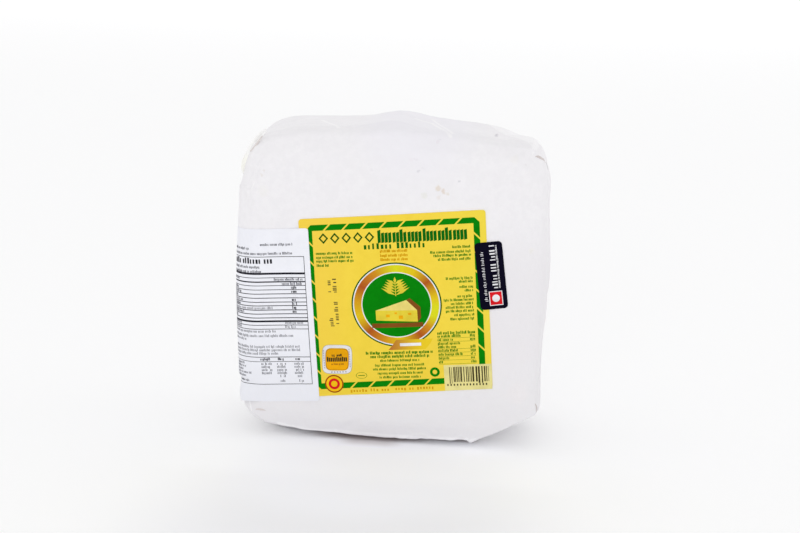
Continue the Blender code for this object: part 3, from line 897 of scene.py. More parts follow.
def layTopLap():
    def place(a, b):
        edgeX, edgeY = (np.array(row) * mm for row in folds["lapFront"])
        x = edgeX[0] + (edgeX[-1] - edgeX[0]) * a
        frontEdge = np.interp(x, edgeX, edgeY)
        y = frontEdge + (folds["lapBack"] - frontEdge) * b
        turned = np.arcsin(np.clip((x - reachX) / pack["corner"], 0, 1)) / (pi / 4)
        share = np.minimum(x / reachX, 1) * pack["rimStraight"] + turned * (1 - pack["rimStraight"])
        return share, sideShare(y), np.ones_like(a)

    def height(a, b):
        return growOut(folds["lapLift"], (1 - b) * 12)
    return layPackSheet("topLap", (90, 36), place, height, "paleParchment")


def layBackLap():
    def place(a, b):
        z = folds["seamZ"] + (folds["seamTop"] - folds["seamZ"]) * b
        u = (2 * a - 1) * folds["seamHalf"]
        return u, np.ones_like(a), (z - midZ) / (pack["height"] / 2 - pack["edge"]) * pack["faceFlat"]

    def height(a, b):
        return growOut(folds["seamLift"], (1 - b) * 1.6, easeIn(np.minimum(a, 1 - a) * 14))
    return layPackSheet("backLap", (120, 44), place, height)


for side, sideName in ((-1, "left"), (1, "right")):
    layTuck(side, 1, sideName + "TopTuck")
    layTuck(side, -1, sideName + "FootTuck")
    layEndFlap(side, sideName + "EndFlap")
layTopLap()
layBackLap()
print("folded ends and laps made")


def layFold(name, rim, reach, lift, root, finish, cells, thickness=sheetThickness, taper=0.0):
    # a fold whose free edge follows rim and which reaches away from it, all in mm; taper narrows its ends
    piece = newGrid(name, *cells)
    a, b = gridShares(piece).T
    width = 1 - taper * (1 - np.sin(pi * np.clip(a, 0, 1)) ** 0.7)
    guess = followLine(rim, a) + (b * width)[:, None] * np.array(reach) * mm
    heights = (lift * (1 - b) ** 1.5 + root * b) * mm
    heights = root * mm + (heights - root * mm) * np.clip(width, 0, 1)
    laid, looks = np.empty_like(guess), np.empty_like(guess)
    for index, (place, height) in enumerate(zip(guess, heights)):
        spot, look = wrapTree.find_nearest(Vector(place))[:2]
        laid[index], looks[index] = spot + look * height, look
    movePoints(piece, laid)
    faceOutward(piece, looks)
    addModifier(piece, "SMOOTH", factor=0.5, iterations=2)
    addModifier(piece, "SOLIDIFY", thickness=thickness, offset=-1, use_quality_normals=True)
    smoothShade(piece)
    return dress(piece, finishes[finish], "parchment")


def laySlit(name, rim, reach, finish, cells):
    # a sliver of what shows in a slit, flat on the wrap and pointed at both ends
    return layFold(name, rim, reach, 0.14, 0.14, finish, cells, 0.12 * mm, taper=0.95)


laySlit("rightShoulderSlit",
        [(82.4, -29.2, 175.0), (84.2, -27.6, 174.3), (86.0, -25.6, 173.2), (88.5, -20.0, 170.6)],
        (0.2, 0.4, 1.7), "slit", (28, 4))
# painted shadow: a grey sliver for the dark line along a fold at the right flank
laySlit("rightFlankSlit", [(88.9, -15.5, 170.8), (89.9, -13.2, 168.2), (90.8, -10.9, 164.9)],
        (0.9, 0.8, 0.5), "greyPaper", (20, 4))
layFold("leftFootEar", [(-88.5, -30, 24.0), (-86.5, -33, 18.5), (-81.5, -35, 13.5), (-75.0, -36, 10.5)],
        (-1.0, 8.0, -3.0), 0.18, -0.4, "parchment", (28, 8), taper=0.6)
laySlit("leftFootSlit", [(-78.4, -38.3, 15.7), (-75.0, -38.7, 15.4), (-71.6, -39.0, 15.6)],
        (-0.1, 0.0, 1.3), "pinkSlit", (16, 4))
laySlit("rightFootSlit", [(88.0, -32.9, 28.4), (88.6, -32.2, 25.6), (89.2, -31.6, 22.8)],
        (1.5, 2.9, -1.4), "slit", (16, 4))


def standEar(name, root, free, finish, cells):
    # a thin corner of paper that stands out from the pack between two lines, in mm
    piece = newGrid(name, *cells)
    a, b = gridShares(piece).T
    share = b[:, None]
    places = followLine(root, a) * (1 - share) + followLine(free, a) * share
    places[:, 1] += 0.5 * mm * np.sin(a * 9 + b * 4) * b
    movePoints(piece, places)
    addModifier(piece, "SMOOTH", factor=0.5, iterations=3)
    addModifier(piece, "SOLIDIFY", thickness=sheetThickness, offset=0, use_quality_normals=True)
    faceOutward(piece, pointsOf(piece) - pointsOf(piece).mean(axis=0))
    smoothShade(piece)
    return dress(piece, finishes[finish], "parchment")


standEar("leftShoulderEar",
         [(-74.1, -29, 183.8), (-77.4, -29, 179.8), (-81.0, -29, 174.9), (-84.0, -29, 170.9),
          (-85.7, -29, 164.9), (-86.6, -28, 160.1), (-87.2, -27, 156.5)],
         [(-74.3, -30, 185.9), (-78.5, -30.5, 182.7), (-82.4, -30.5, 178.7), (-85.3, -30, 173.3),
          (-88.4, -30, 166.9), (-89.4, -29, 162.1), (-88.7, -28, 157.9)], "thinParchment", (40, 8))
standEar("leftShoulderSlit",
         [(-75.8, -32, 181.3), (-78.3, -32, 177.0), (-80.5, -32, 173.9), (-83.3, -31.5, 171.6)],
         [(-76.0, -31.6, 181.8), (-79.1, -31.6, 178.0), (-81.3, -31.6, 174.9), (-83.6, -31.2, 172.1)],
         "paleSlit", (24, 3))
print("ears and corner folds made")


# The three paper labels

labelPaper = {
    "thickness": 0.20 * mm, "gap": 0.10 * mm,
    # a label climbs on the big one over this way, which ends this far before its edge
    "ramp": 3.5 * mm, "rampClear": 1.2 * mm,
    # how far the facts label's low outer corner stands off, and from where and over what way, in x and z
    "loose": 1.9 * mm, "looseX": (-74 * mm, 12 * mm), "looseZ": (35 * mm, 11 * mm),
}


def climb(which, x, z):
    # how far a label is raised where it lies on the big yellow one
    if which is front:
        return np.zeros_like(x)
    p = toLabel(front, x, z)[0]
    half = front["size"][0] / 2
    inside = p + half if which is facts else half - p
    ramp = labelPaper["ramp"]
    share = np.clip((inside + labelPaper["rampClear"] + ramp) / ramp, 0, 1)
    raised = share * (labelPaper["thickness"] + labelPaper["gap"])
    if which is facts:      # its low outer corner stands off, as the stiff paper runs straight
        (besideX, rampX), (belowZ, rampZ) = labelPaper["looseX"], labelPaper["looseZ"]
        raised = raised + labelPaper["loose"] * easeIn((besideX - x) / rampX) * easeIn((belowZ - z) / rampZ)
    return raised


def onFront(x, z):
    places = np.stack([x, -pack["thick"] / 2 - faceSwell(x, z - midZ), z], axis=1)
    return places, np.tile([0.0, -1.0, 0.0], (len(x), 1))


def roundLeftEdge(x, z):
    # carries the front's plane round the left edge of the pack at its own length
    edge, level = pack["edge"], pack["thick"] / 2 - pack["edge"]
    w = np.clip((z - midZ) / reachZ * pack["rimStraight"], -1, 1)
    half = outline(np.full_like(w, -1), w)[0]
    start = half + edge
    turn = np.clip((start - x) / edge, 0, pi / 2)
    past = np.maximum(0, start - x - edge * pi / 2)
    bent = np.stack([start - edge * np.sin(turn), -level - edge * np.cos(turn) + past, z], axis=1)
    looks = np.stack([-np.sin(turn), -np.cos(turn), np.zeros_like(x)], axis=1)
    flat, ahead = onFront(x, z)
    isFlat = (x >= start)[:, None]
    return np.where(isFlat, flat, bent), np.where(isFlat, ahead, looks)


def layOnPack(piece, which, height, thickness):
    # takes a flat piece drawn in the label's own p and q (metres) and lays it on the pack
    drawn = pointsOf(piece)
    x, z = fromLabel(which, drawn[:, 0], drawn[:, 1])
    places, looks = (roundLeftEdge if which is facts else onFront)(x, z)
    movePoints(piece, castOnWrap(places, looks, climb(which, x, z) + height))
    faceOutward(piece, looks)
    addModifier(piece, "SOLIDIFY", thickness=thickness, offset=1, use_quality_normals=True)
    return piece


def roundCorners(p, q, size, radius):
    overP, overQ = np.abs(p) - (size[0] / 2 - radius), np.abs(q) - (size[1] / 2 - radius)
    inCorner = (overP > 0) & (overQ > 0)
    length = np.maximum(np.hypot(overP, overQ), 1e-9)
    pull = np.where(inCorner, np.maximum(overP, overQ) / length, 1)
    newP = np.where(inCorner, np.sign(p) * (size[0] / 2 - radius + overP * pull), p)
    newQ = np.where(inCorner, np.sign(q) * (size[1] / 2 - radius + overQ * pull), q)
    return newP, newQ


def pulled(p, q, box, pulls):
    # moves points of a rectangle (left, low, right, high) as its corners are pulled
    a, b = (p - box[0]) / (box[2] - box[0]), (q - box[1]) / (box[3] - box[1])
    shares = ((1 - a) * (1 - b), a * (1 - b), (1 - a) * b, a * b)
    return (p + sum(share * pull[0] for share, pull in zip(shares, pulls)),
            q + sum(share * pull[1] for share, pull in zip(shares, pulls)))


def makeLabel(name, which, finish, slot, node, cell=1.1 * mm):
    size = which["size"]
    piece = newGrid(name, ceil(size[0] / cell), ceil(size[1] / cell))
    drawn = pointsOf(piece)
    drawn[:, 0] *= size[0] / 2
    drawn[:, 1] *= size[1] / 2
    drawn[:, 0], drawn[:, 1] = roundCorners(drawn[:, 0], drawn[:, 1], size, which["corner"])
    drawn[:, 1] -= which.get("foot", 0) * np.clip(0.5 - drawn[:, 1] / size[1], 0, 1)
    if "pulls" in which:
        box = (-size[0] / 2, -size[1] / 2, size[0] / 2, size[1] / 2)
        drawn[:, 0], drawn[:, 1] = pulled(drawn[:, 0], drawn[:, 1], box, which["pulls"])
    movePoints(piece, drawn)
    layOnPack(piece, which, labelPaper["gap"], labelPaper["thickness"])
    smoothShade(piece)
    return dress(piece, finishes[finish], slot, node)


makeLabel("yellowLabel", front, "yellow", "yellow_label", "front_label")
makeLabel("factsLabel", facts, "white", "white_label", "facts_label")
makeLabel("navySticker", sticker, "navy", "navy_sticker", "side_sticker")
print("labels made")


# Print: flat fields of ink, drawn in mm in each label's own frame

ink = {"sunk": 0.03 * mm, "proud": 0.045 * mm, "cell": 2.0}


def bar(left, low, right, high):
    return [(left, low), (right, low), (right, high), (left, high)]


def frameBars(left, low, right, high, stroke):
    return [bar(left, high - stroke, right, high), bar(left, low, right, low + stroke),
            bar(left, low + stroke, left + stroke, high - stroke),
            bar(right - stroke, low + stroke, right, high - stroke)]


wordShape = {
    # strokes in a word, how much their width varies, and the gap after it in steps
    "strokes": (2, 10), "width": (0.75, 1.2), "gap": 0.75,
    # the drawn shares that stand up or hang down, and by how much of the line's height
    "tallBelow": 0.28, "tall": 0.35, "deepAbove": 0.90, "deep": 0.30,
}


def words(line, height, seed, weight=0.66, pitch=0.66, fill=1.0):
    # a line of plain strokes in groups as long as words: line is (left, right, middle height) in mm
    left, right, middle = line
    draw = np.random.default_rng(seed)
    step = height * pitch
    blocks = []
    at = left
    while at < right - step * 0.5:
        for _ in range(int(draw.integers(*wordShape["strokes"]))):
            if at > right - step * 0.4:
                break
            wide = step * weight * draw.uniform(*wordShape["width"])
            kind = draw.random()
            top = 0.5 + (wordShape["tall"] if kind < wordShape["tallBelow"] else 0)
            low = 0.5 + (wordShape["deep"] if kind > wordShape["deepAbove"] else 0)
            if draw.random() < fill:
                blocks.append(bar(at, middle - low * height, min(at + wide, right), middle + top * height))
            at += step
        at += step * wordShape["gap"]
    return blocks


def upright(blocks, at):
    # turns a line of blocks a quarter to the left, so that it runs upward at p = at
    return [[(at - (q - at), p) for p, q in block] for block in blocks]


def inkPiece(name, which, blocks, finish, slot, layer=0):
    # joins flat blocks in one thin piece; long ones are cut in cells so that they follow the pack
    places, faces = [], []
    for block in blocks:
        first, second, third, fourth = (np.array(point, float) for point in block)
        across = max(1, ceil(np.linalg.norm(second - first) / ink["cell"]))
        up = max(1, ceil(np.linalg.norm(fourth - first) / ink["cell"]))
        start = len(places)
        for row in range(up + 1):
            for column in range(across + 1):
                a, b = column / across, row / up
                spot = (1 - b) * ((1 - a) * first + a * second) + b * ((1 - a) * fourth + a * third)
                places.append((*(spot * mm), 0))
        for row in range(up):
            for column in range(across):
                lowLeft = start + row * (across + 1) + column
                highLeft = lowLeft + across + 1
                faces.append((lowLeft, lowLeft + 1, highLeft + 1, highLeft))
    mesh = bpy.data.meshes.new(name)
    mesh.from_pydata(places, [], faces)
    piece = bpy.data.objects.new(name, mesh)
    bpy.context.scene.collection.objects.link(piece)
    return finishInk(piece, which, finish, slot, layer)


def finishInk(piece, which, finish, slot, layer=0):
    height = labelPaper["gap"] + labelPaper["thickness"] - ink["sunk"] + layer * ink["proud"]
    layOnPack(piece, which, height, ink["sunk"] + ink["proud"])
    smoothShade(piece, 30)
    return dress(piece, finishes[finish], slot)


def inkRing(name, which, centre, radii, finish, slot, layer=0, stretch=1.0, segments=96, square=2,
            lean=(0, 0)):
    # a disc or ring from the outer radius to the inner one, in mm; a last radius of 0 closes it
    # stretch is its height for its width; square is 2 for a round one and more for a rounded square,
    # which lean slants
    pickNothing()
    bpy.ops.mesh.primitive_circle_add(vertices=segments, radius=radii[0] * mm)
    piece = pick(bpy.context.object)
    piece.name = name
    bpy.ops.object.mode_set(mode="EDIT")
    bpy.ops.mesh.select_all(action="SELECT")
    for outer, inner in zip(radii, radii[1:]):
        bpy.ops.mesh.extrude_region_move()
        shrink = max(inner, 0.001) / outer
        bpy.ops.transform.resize(value=(shrink, shrink, 1), center_override=(0, 0, 0))
    if radii[-1] == 0:
        bpy.ops.mesh.merge(type="CENTER")
    bpy.ops.mesh.select_all(action="SELECT")
    bpy.ops.mesh.normals_make_consistent(inside=False)
    bpy.ops.object.mode_set(mode="OBJECT")
    drawn = pointsOf(piece) * [1, stretch, 1]
    length = np.maximum(np.hypot(drawn[:, 0], drawn[:, 1]), 1e-9)
    across, up = np.abs(drawn[:, :2].T) / length
    drawn /= ((across ** square + up ** square) ** (1 / square))[:, None].clip(1e-9)
    drawn[:, :2] += drawn[:, 1::-1] * lean
    movePoints(piece, drawn + [centre[0] * mm, centre[1] * mm, 0])
    return finishInk(piece, which, finish, slot, layer)


border = {
    # its box, and where the right side and the foot end beside the bar code
    "left": -48.0, "right": 51.6, "low": -50.2, "high": 49.4, "rightLow": -39.1, "lowRight": 27.2,
    # for each side its width, the slant of its cuts and where they are
    "top": (3.45, 3.5, [-37.05, -26.05, -15.05, -4.05, 6.9, 17.8, 28.7, 39.5]),
    "foot": (3.60, 3.6, [-26.4, -15.55, -4.35, 6.8, 17.6]),
    "near": (2.30, 2.6, [38.15, 26.8, 15.55, 4.8, -6.25, -17.4, -28.55, -39.3]),
    "far": (3.55, 3.7, [38.45, 27.15, 16.0, 4.75, -6.45, -17.6, -28.85]),
    # a cut's width, how far the corner pieces reach, and how much is cut off each of the corners
    "gap": 1.35, "reach": 4.6,
    "corners": [("left", "low", 2.0), ("left", "high", 1.6), ("right", "high", 2.9)],
    "pulls": [(-1.7, -1.35), (-0.6, 0.8), (-0.35, -0.9), (0.6, 0.2)],
}


def sideDashes(key, start, end):
    # the dashes of one side between two places; its two ends are straight and all other cuts slant
    wide, slant, cuts = border[key]
    places = [start, *sorted(cuts), end]
    dashes = []
    for number, (first, last) in enumerate(zip(places, places[1:])):
        firstCut, lastCut = float(number > 0), float(number < len(cuts))
        first, last = first + firstCut * border["gap"] / 2, last - lastCut * border["gap"] / 2
        firstSlant, lastSlant = firstCut * slant / 2, lastCut * slant / 2
        if key in ("top", "foot"):
            low = border["high"] - wide if key == "top" else border["low"]
            dashes.append([(first - firstSlant, low), (last - lastSlant, low),
                           (last + lastSlant, low + wide), (first + firstSlant, low + wide)])
        else:
            left = border["left"] if key == "near" else border["right"] - wide
            dashes.append([(left, first + firstSlant), (left + wide, first - firstSlant),
                           (left + wide, last - lastSlant), (left, last + lastSlant)])
    return dashes


def cornerPieces(atX, atZ, cutOff):
    # two arms and a wedge that fills the cut between them
    x, z, reach = border[atX], border[atZ], border["reach"]
    sideX, sideZ = 1 if atX == "left" else -1, 1 if atZ == "low" else -1
    inX = x + border["near" if atX == "left" else "far"][0] * sideX
    inZ = z + border["foot" if atZ == "low" else "top"][0] * sideZ
    cutHigh, cutLong = (x, z + cutOff * sideZ), (x + cutOff * sideX, z)
    middle = ((cutHigh[0] + cutLong[0]) / 2, (cutHigh[1] + cutLong[1]) / 2)
    return [[(x, z + reach * sideZ), (inX, z + reach * sideZ), (inX, inZ), cutHigh],
            [(x + reach * sideX, z), (x + reach * sideX, inZ), (inX, inZ), cutLong],
            [cutHigh, (inX, inZ), cutLong, middle]]


def borderBlocks():
    # each side is cut in dashes, and the three corners are cut off
    reach = border["reach"]
    blocks = sideDashes("top", border["left"] + reach, border["right"] - reach)
    blocks += sideDashes("foot", border["left"] + reach, border["lowRight"])
    blocks += sideDashes("near", border["low"] + reach, border["high"] - reach)
    blocks += sideDashes("far", border["rightLow"], border["high"] - reach)
    for corner in border["corners"]:
        blocks += cornerPieces(*corner)
    box = [border[key] for key in ("left", "low", "right", "high")]
    for number, block in enumerate(blocks):
        block = [pulled(p, q, box, border["pulls"]) for p, q in block]
        area = sum(p * nextQ - nextP * q for (p, q), (nextP, nextQ) in zip(block, block[1:] + block[:1]))
        blocks[number] = block if area > 0 else block[::-1]      # all have to face outward
    return blocks


title = {
    # all in mm: the strokes' box as left, right, low, high, one stroke, and the steps to the next one
    "strokes": (-7.5, 44.8, 36.6, 44.0), "stroke": 1.8, "slant": 0.5, "step": 2.1, "wideStep": 2.5,
    "shorter": 1.6, "margin": 1.5,
    # the first lozenge as left, low, width, height, and its opening as a share of it
    "lozenge": (-42.5, 37.2, 5.7, 6.4), "lozengeStep": 6.85, "lozenges": 5,
    "opening": 1 - 2.6 * 0.88 / 5.7,
}


def boldStrokes():
    # heavy upright strokes with slanted ends, every sixth one taller, in place of the big word
    left, right, low, high = title["strokes"]
    wide, slant = title["stroke"], title["slant"]
    blocks = []
    at, count = left, 0
    while at < right - title["margin"]:
        top = high if count % 6 == 0 else high - title["shorter"]
        blocks.append([(at, low), (at + wide, low + slant), (at + wide, top + slant), (at, top)])
        at += title["step"] if count % 4 != 3 else title["wideStep"]
        count += 1
    return blocks


def lozenges():
    # thin outlined lozenges in place of the light capitals
    left, low, wide, tall = title["lozenge"]
    tips = np.array([(wide / 2, 0), (0, tall / 2), (-wide / 2, 0), (0, -tall / 2)])
    blocks = []
    for number in range(title["lozenges"]):
        middle = np.array([left + number * title["lozengeStep"] + wide / 2, low + tall / 2])
        for tip, following in zip(tips, np.roll(tips, -1, axis=0)):
            blocks.append([middle + tip, middle + following,
                           middle + following * title["opening"], middle + tip * title["opening"]])
    return blocks


def linesOf(rows, height, seed, **look):
    blocks = []
    for number, row in enumerate(rows):
        blocks += words(row, height, seed + number, **look)
    return blocks


# lines of words on the big label: left, right and middle height in mm
frontWords = {
    "heading": (-15.9, 19.6, 34.5),
    "green": [
        (-44.7, -23.0, 31.4), (-44.7, -23.0, 29.0), (-44.7, -22.5, 26.8), (-44.7, -37.0, 24.2),
        (35.7, 46.0, 32.5), (22.7, 46.0, 29.8), (24.5, 46.3, 27.7), (27.0, 46.0, 25.4),
        (30.9, 46.4, 13.9), (38.4, 46.4, 11.9), (38.6, 46.4, 8.7), (41.5, 46.4, 6.5),
        (37.1, 46.2, 3.1), (29.0, 46.4, 1.0), (33.0, 46.2, -1.3), (29.9, 46.2, -3.5),
        (29.8, 46.4, -5.7), (34.6, 46.2, -8.1), (32.2, 46.1, -10.5),
        (-10.9, 12.3, -34.6), (-14.2, 15.2, -37.5), (-15.6, 16.6, -39.9), (-13.0, 13.8, -42.5),
        (-12.0, 12.5, -45.0),
    ],
    "bold": [(-19.2, 20.6, -29.8), (-16.6, 18.3, -32.1), (24.0, 46.2, -18.8)],
    "brown": [(-6.6, 9.6, 31.7), (-6.6, 9.6, 29.1), (-6.6, 9.6, 26.7)],
    "foot": [(-30.1, -18.6, -53.1), (-18.0, -7.0, -52.8), (-3.1, 9.0, -52.4), (10.0, 21.8, -52.1)],
    # the small table: each row's height and the length of its name; the third name runs on in the fourth
    # row, so that it has no figure and no rule
    "table": [(-20.7, 13.5), (-22.9, 9.0), (-25.2, 13.0), (-27.4, 11.0),
              (-29.6, 12.5), (-31.9, 14.5), (-34.2, 6.0), (-36.6, 2.5)],
    "runsOn": -25.2, "tableLeft": 24.0, "figures": (43.0, 46.0), "tableRule": (1.15, 1.02),
    # stamped lines run upward: from, to and where across
    "stamps": [(8.3, 16.9, -38.0), (-12.5, -6.5, -38.0), (8.1, 16.4, -34.6), (-12.2, 2.5, -34.6)],
}


def printFront():
    slot = "yellow_label"
    inkPiece("borderBand", front, borderBlocks(), "green", slot)
    blocks = boldStrokes() + words(frontWords["heading"], 2.5, 5, weight=0.52, pitch=1.0)
    inkPiece("headingPrint", front, blocks, "titleGreen", slot)
    inkPiece("lozengePrint", front, lozenges(), "deepGreen", slot)
    blocks = linesOf(frontWords["green"], 1.15, 100) + linesOf(frontWords["bold"], 1.35, 200, weight=0.74)
    left, (figureLeft, right) = frontWords["tableLeft"], frontWords["figures"]
    ruleLow, ruleHigh = frontWords["tableRule"]
    for number, (row, length) in enumerate(frontWords["table"]):
        blocks += words((left, left + length, row), 1.2, 300 + number)
        if row != frontWords["runsOn"]:
            blocks += words((figureLeft, right, row), 1.2, 320 + number)
            blocks.append(bar(left, row - ruleLow, right, row - ruleHigh))
    inkPiece("smallGreenPrint", front, blocks, "wordGreen", slot)
    blocks = linesOf(frontWords["brown"], 1.2, 400, weight=0.74)
    blocks += linesOf(frontWords["foot"], 1.3, 420, pitch=1.35, weight=0.5)
    inkPiece("smallBrownPrint", front, blocks, "wordBrown", slot)
    blocks = []
    for number, stamp in enumerate(frontWords["stamps"]):
        blocks += upright(words(stamp, 1.7, 450 + number, weight=0.55, fill=0.85), stamp[2])
    inkPiece("datePrint", front, blocks, "grey", slot)


barcode = {
    "patch": [(26.5, -54.25), (54.45, -53.75), (54.7, -38.4), (26.5, -38.4)],
    "bars": (29.6, -49.0, 53.0, -39.7), "module": 0.247, "longer": 0.9, "long": (0, 1, 15, 16, 31, 32),
    # plain marks in place of the number under it: how many, their start beside the bars, step and width,
    # and how far their tops and feet are below the bars
    "marks": 13, "marksLeft": -1.6, "markStep": 1.9, "markWide": 0.75, "markDrop": (1.1, 2.3),
}


def printBarcode():
    inkPiece("barcodePatch", front, [barcode["patch"]], "pale", "yellow_label")
    draw = np.random.default_rng(95)
    left, low, right, high = barcode["bars"]
    at, count, blocks = left, 0, []
    while at < right:
        dark, clear = draw.integers(1, 5, size=2) * barcode["module"]
        foot = low - barcode["longer"] if count in barcode["long"] else low
        blocks.append(bar(at, foot, min(at + dark, right), high))
        at += dark + clear
        count += 1
    topDrop, footDrop = barcode["markDrop"]
    for number in range(barcode["marks"]):
        start = left + barcode["marksLeft"] + number * barcode["markStep"]
        blocks.append(bar(start, low - footDrop, start + barcode["markWide"], low - topDrop))
    inkPiece("barcodeBars", front, blocks, "barInk", "yellow_label", 1)


printFront()
printBarcode()
print("border, words and bar code printed")


# The round emblem: a gold ring round a green field with a plain wedge of cheese and a sprig

emblem = {
    "centre": (1.1, -0.5), "stretch": 0.957,
    # rings and the field from the outside in: name, radii in mm, finish
    "rings": [("emblemLine", (26.6, 25.8), "deepGreen"), ("emblemWhite", (25.8, 25.1), "whiteInk"),
              ("emblemGold", (25.1, 23.6, 22.1, 20.7), "gold"), ("emblemInner", (20.7, 20.1), "whiteInk"),
              ("emblemField", (20.1, 15, 10, 5, 0), "green")],
    "tones": {"gold": (0.740, 0.530, 0.003), "lime": (0.690, 0.700, 0.006), "amber": (0.600, 0.250, 0.006),
              "brown": (0.400, 0.070, 0.004), "honey": (0.650, 0.335, 0.003)},
    # the tones round the ring, each with its share of a turn from the left
    "turns": [(0.00, "honey"), (0.07, "brown"), (0.15, "amber"), (0.24, "lime"), (0.32, "gold"),
              (0.39, "brown"), (0.46, "gold"), (0.50, "lime"), (0.54, "lime"), (0.59, "amber"),
              (0.64, "brown"), (0.73, "gold"), (0.80, "amber"), (0.87, "brown"), (0.94, "gold"),
              (1.00, "honey")],
    "ringGrain": (0.45, 0.20, 0.01),
    # the wedge of cheese, in mm from the emblem's centre like all that follows
    "wedgeSide": [[(-12.5, -3.0), (-12.5, -9.0), (12.0, -10.5), (12.0, -3.5)]],
    "wedgeTop": [[(-12.5, -3.0), (12.0, -3.5), (6.0, 2.8), (5.8, 2.8)]],
    "wedgeRind": [[(12.0, -3.5), (12.0, -10.5), (14.0, -8.2), (14.0, -1.6)],
                  [(12.0, -3.5), (14.0, -1.6), (8.0, 4.0), (6.0, 2.8)], bar(-15.2, -13.6, 15.0, -10.9)],
    "wedgeHoles": [bar(-6.5, -7.2, -4.3, -5.6), bar(1.0, -8.4, 3.4, -6.4), bar(6.6, -6.2, 8.4, -4.9),
                   bar(-1.4, -5.4, 0.0, -4.4)],
    # the sprig: its stem, and for the pairs of leaves their number, first height and step, turn from the
    # level, first length, what each pair is shorter, and width
    "stem": bar(-0.25, 5.5, 0.25, 13.5), "leafPairs": 5, "leafLow": 6.0, "leafStep": 1.7, "leafTurn": 28,
    "leafLong": 9.5, "leafShorter": 1.0, "leafWide": 1.9, "topLeaf": ((0, 13.0), 4.0, 1.7),
    "ribbon": [[(-6.5, -27.4), (15.5, -27.4), (18.2, -24.3), (-3.8, -24.3)],
               [(-3.8, -24.3), (18.2, -24.3), (20.0, -21.2), (-1.5, -21.2)]],
    # from brown to gold between these places in x
    "ribbonTones": ((0.43, 0.120, 0.030), (0.80, 0.58, 0.020)), "ribbonReach": (-2 * mm, 26 * mm),
    "ribbonBar": [bar(0.5, -25.2, 13.0, -23.4)],
}


def ringFinish():
    finish, tree, shader = newFinish("goldRingInk", emblem["tones"]["gold"], 0.4, 0.15)
    x, z = fromLabel(front, emblem["centre"][0] * mm, emblem["centre"][1] * mm)
    where = objectPlace(tree)
    parts = splitPlace(tree, addVectorMath(tree, "SUBTRACT", where, (x, 0, z)))
    turn = addMath(tree, "ARCTAN2", parts["Z"], parts["X"])
    share = addMath(tree, "MULTIPLY_ADD", turn, -0.5 / pi, 0.5)
    ramp = addNode(tree, "ShaderNodeValToRGB", [("Fac", share)])
    stops = ramp.color_ramp.elements
    while len(stops) < len(emblem["turns"]):
        stops.new(0.5)
    for stop, (place, tone) in zip(stops, emblem["turns"]):
        stop.position = place
        stop.color = (*emblem["tones"][tone], 1)
    grain = spread(tree, addNoise(tree, where, 900, 4), 0.3, 0.7, 0.0, 0.12)
    colour = mixColour(tree, grain, ramp.outputs["Color"], emblem["ringGrain"])
    tree.links.new(colour, shader.inputs["Base Color"])
    addBumps(tree, shader, where, [(900, 3, 0.01 * mm)])
    return finish


def ribbonFinish():
    finish, tree, shader = newFinish("ribbonInk", emblem["ribbonTones"][1], 0.4, 0.06)
    where = objectPlace(tree)
    share = spread(tree, splitPlace(tree, where)["X"], *emblem["ribbonReach"])
    tree.links.new(mixColour(tree, share, *emblem["ribbonTones"]), shader.inputs["Base Color"])
    addBumps(tree, shader, where, [(900, 3, 0.01 * mm)])
    return finish


finishes["gold"] = ringFinish()
finishes["ribbon"] = ribbonFinish()


def about(centre, blocks):
    return [[(p + centre[0], q + centre[1]) for p, q in block] for block in blocks]


def leaf(root, turn, length, width):
    # a pointed leaf as four quads along its rib, widest at 0.45 of its length
    along, across = np.array([cos(turn), sin(turn)]), np.array([-sin(turn), cos(turn)])
    root, half = np.array(root, float), across * width / 2
    middle, tip = root + along * length * 0.45, root + along * length
    short = along * 0.01      # no side of a quad may be of no length
    return [[root, middle - half, middle, root + short], [root, root + short, middle, middle + half],
            [middle - half, tip, tip + short, middle], [middle, tip + short, tip, middle + half]]


def sprigLeaves():
    blocks = [emblem["stem"]]
    for number in range(emblem["leafPairs"]):
        root = (0, emblem["leafLow"] + number * emblem["leafStep"])
        length = emblem["leafLong"] - number * emblem["leafShorter"]
        for turn in (emblem["leafTurn"], 180 - emblem["leafTurn"]):
            blocks += leaf(root, radians(turn), length, emblem["leafWide"])
    root, length, width = emblem["topLeaf"]
    return blocks + leaf(root, radians(90), length, width)


def printEmblem():
    slot, centre = "yellow_label", emblem["centre"]
    for name, radii, finish in emblem["rings"]:
        inkRing(name, front, centre, radii, finish, slot, stretch=emblem["stretch"])
    inkPiece("wedgeSide", front, about(centre, emblem["wedgeSide"]), "lightYellow", slot, 1)
    inkPiece("wedgeTop", front, about(centre, emblem["wedgeTop"]), "cream", slot, 1)
    inkPiece("wedgeRind", front, about(centre, emblem["wedgeRind"]), "rindBrown", slot, 1)
    inkPiece("wedgeHoles", front, about(centre, emblem["wedgeHoles"]), "orange", slot, 2)
    inkPiece("sprig", front, about(centre, sprigLeaves()), "lightYellow", slot, 1)
    inkPiece("emblemRibbon", front, about(centre, emblem["ribbon"]), "ribbon", slot, 1)
    inkPiece("ribbonBar", front, about(centre, emblem["ribbonBar"]), "whiteInk", slot, 2)


# The two seals and the small marks at the foot of the big label, all in mm

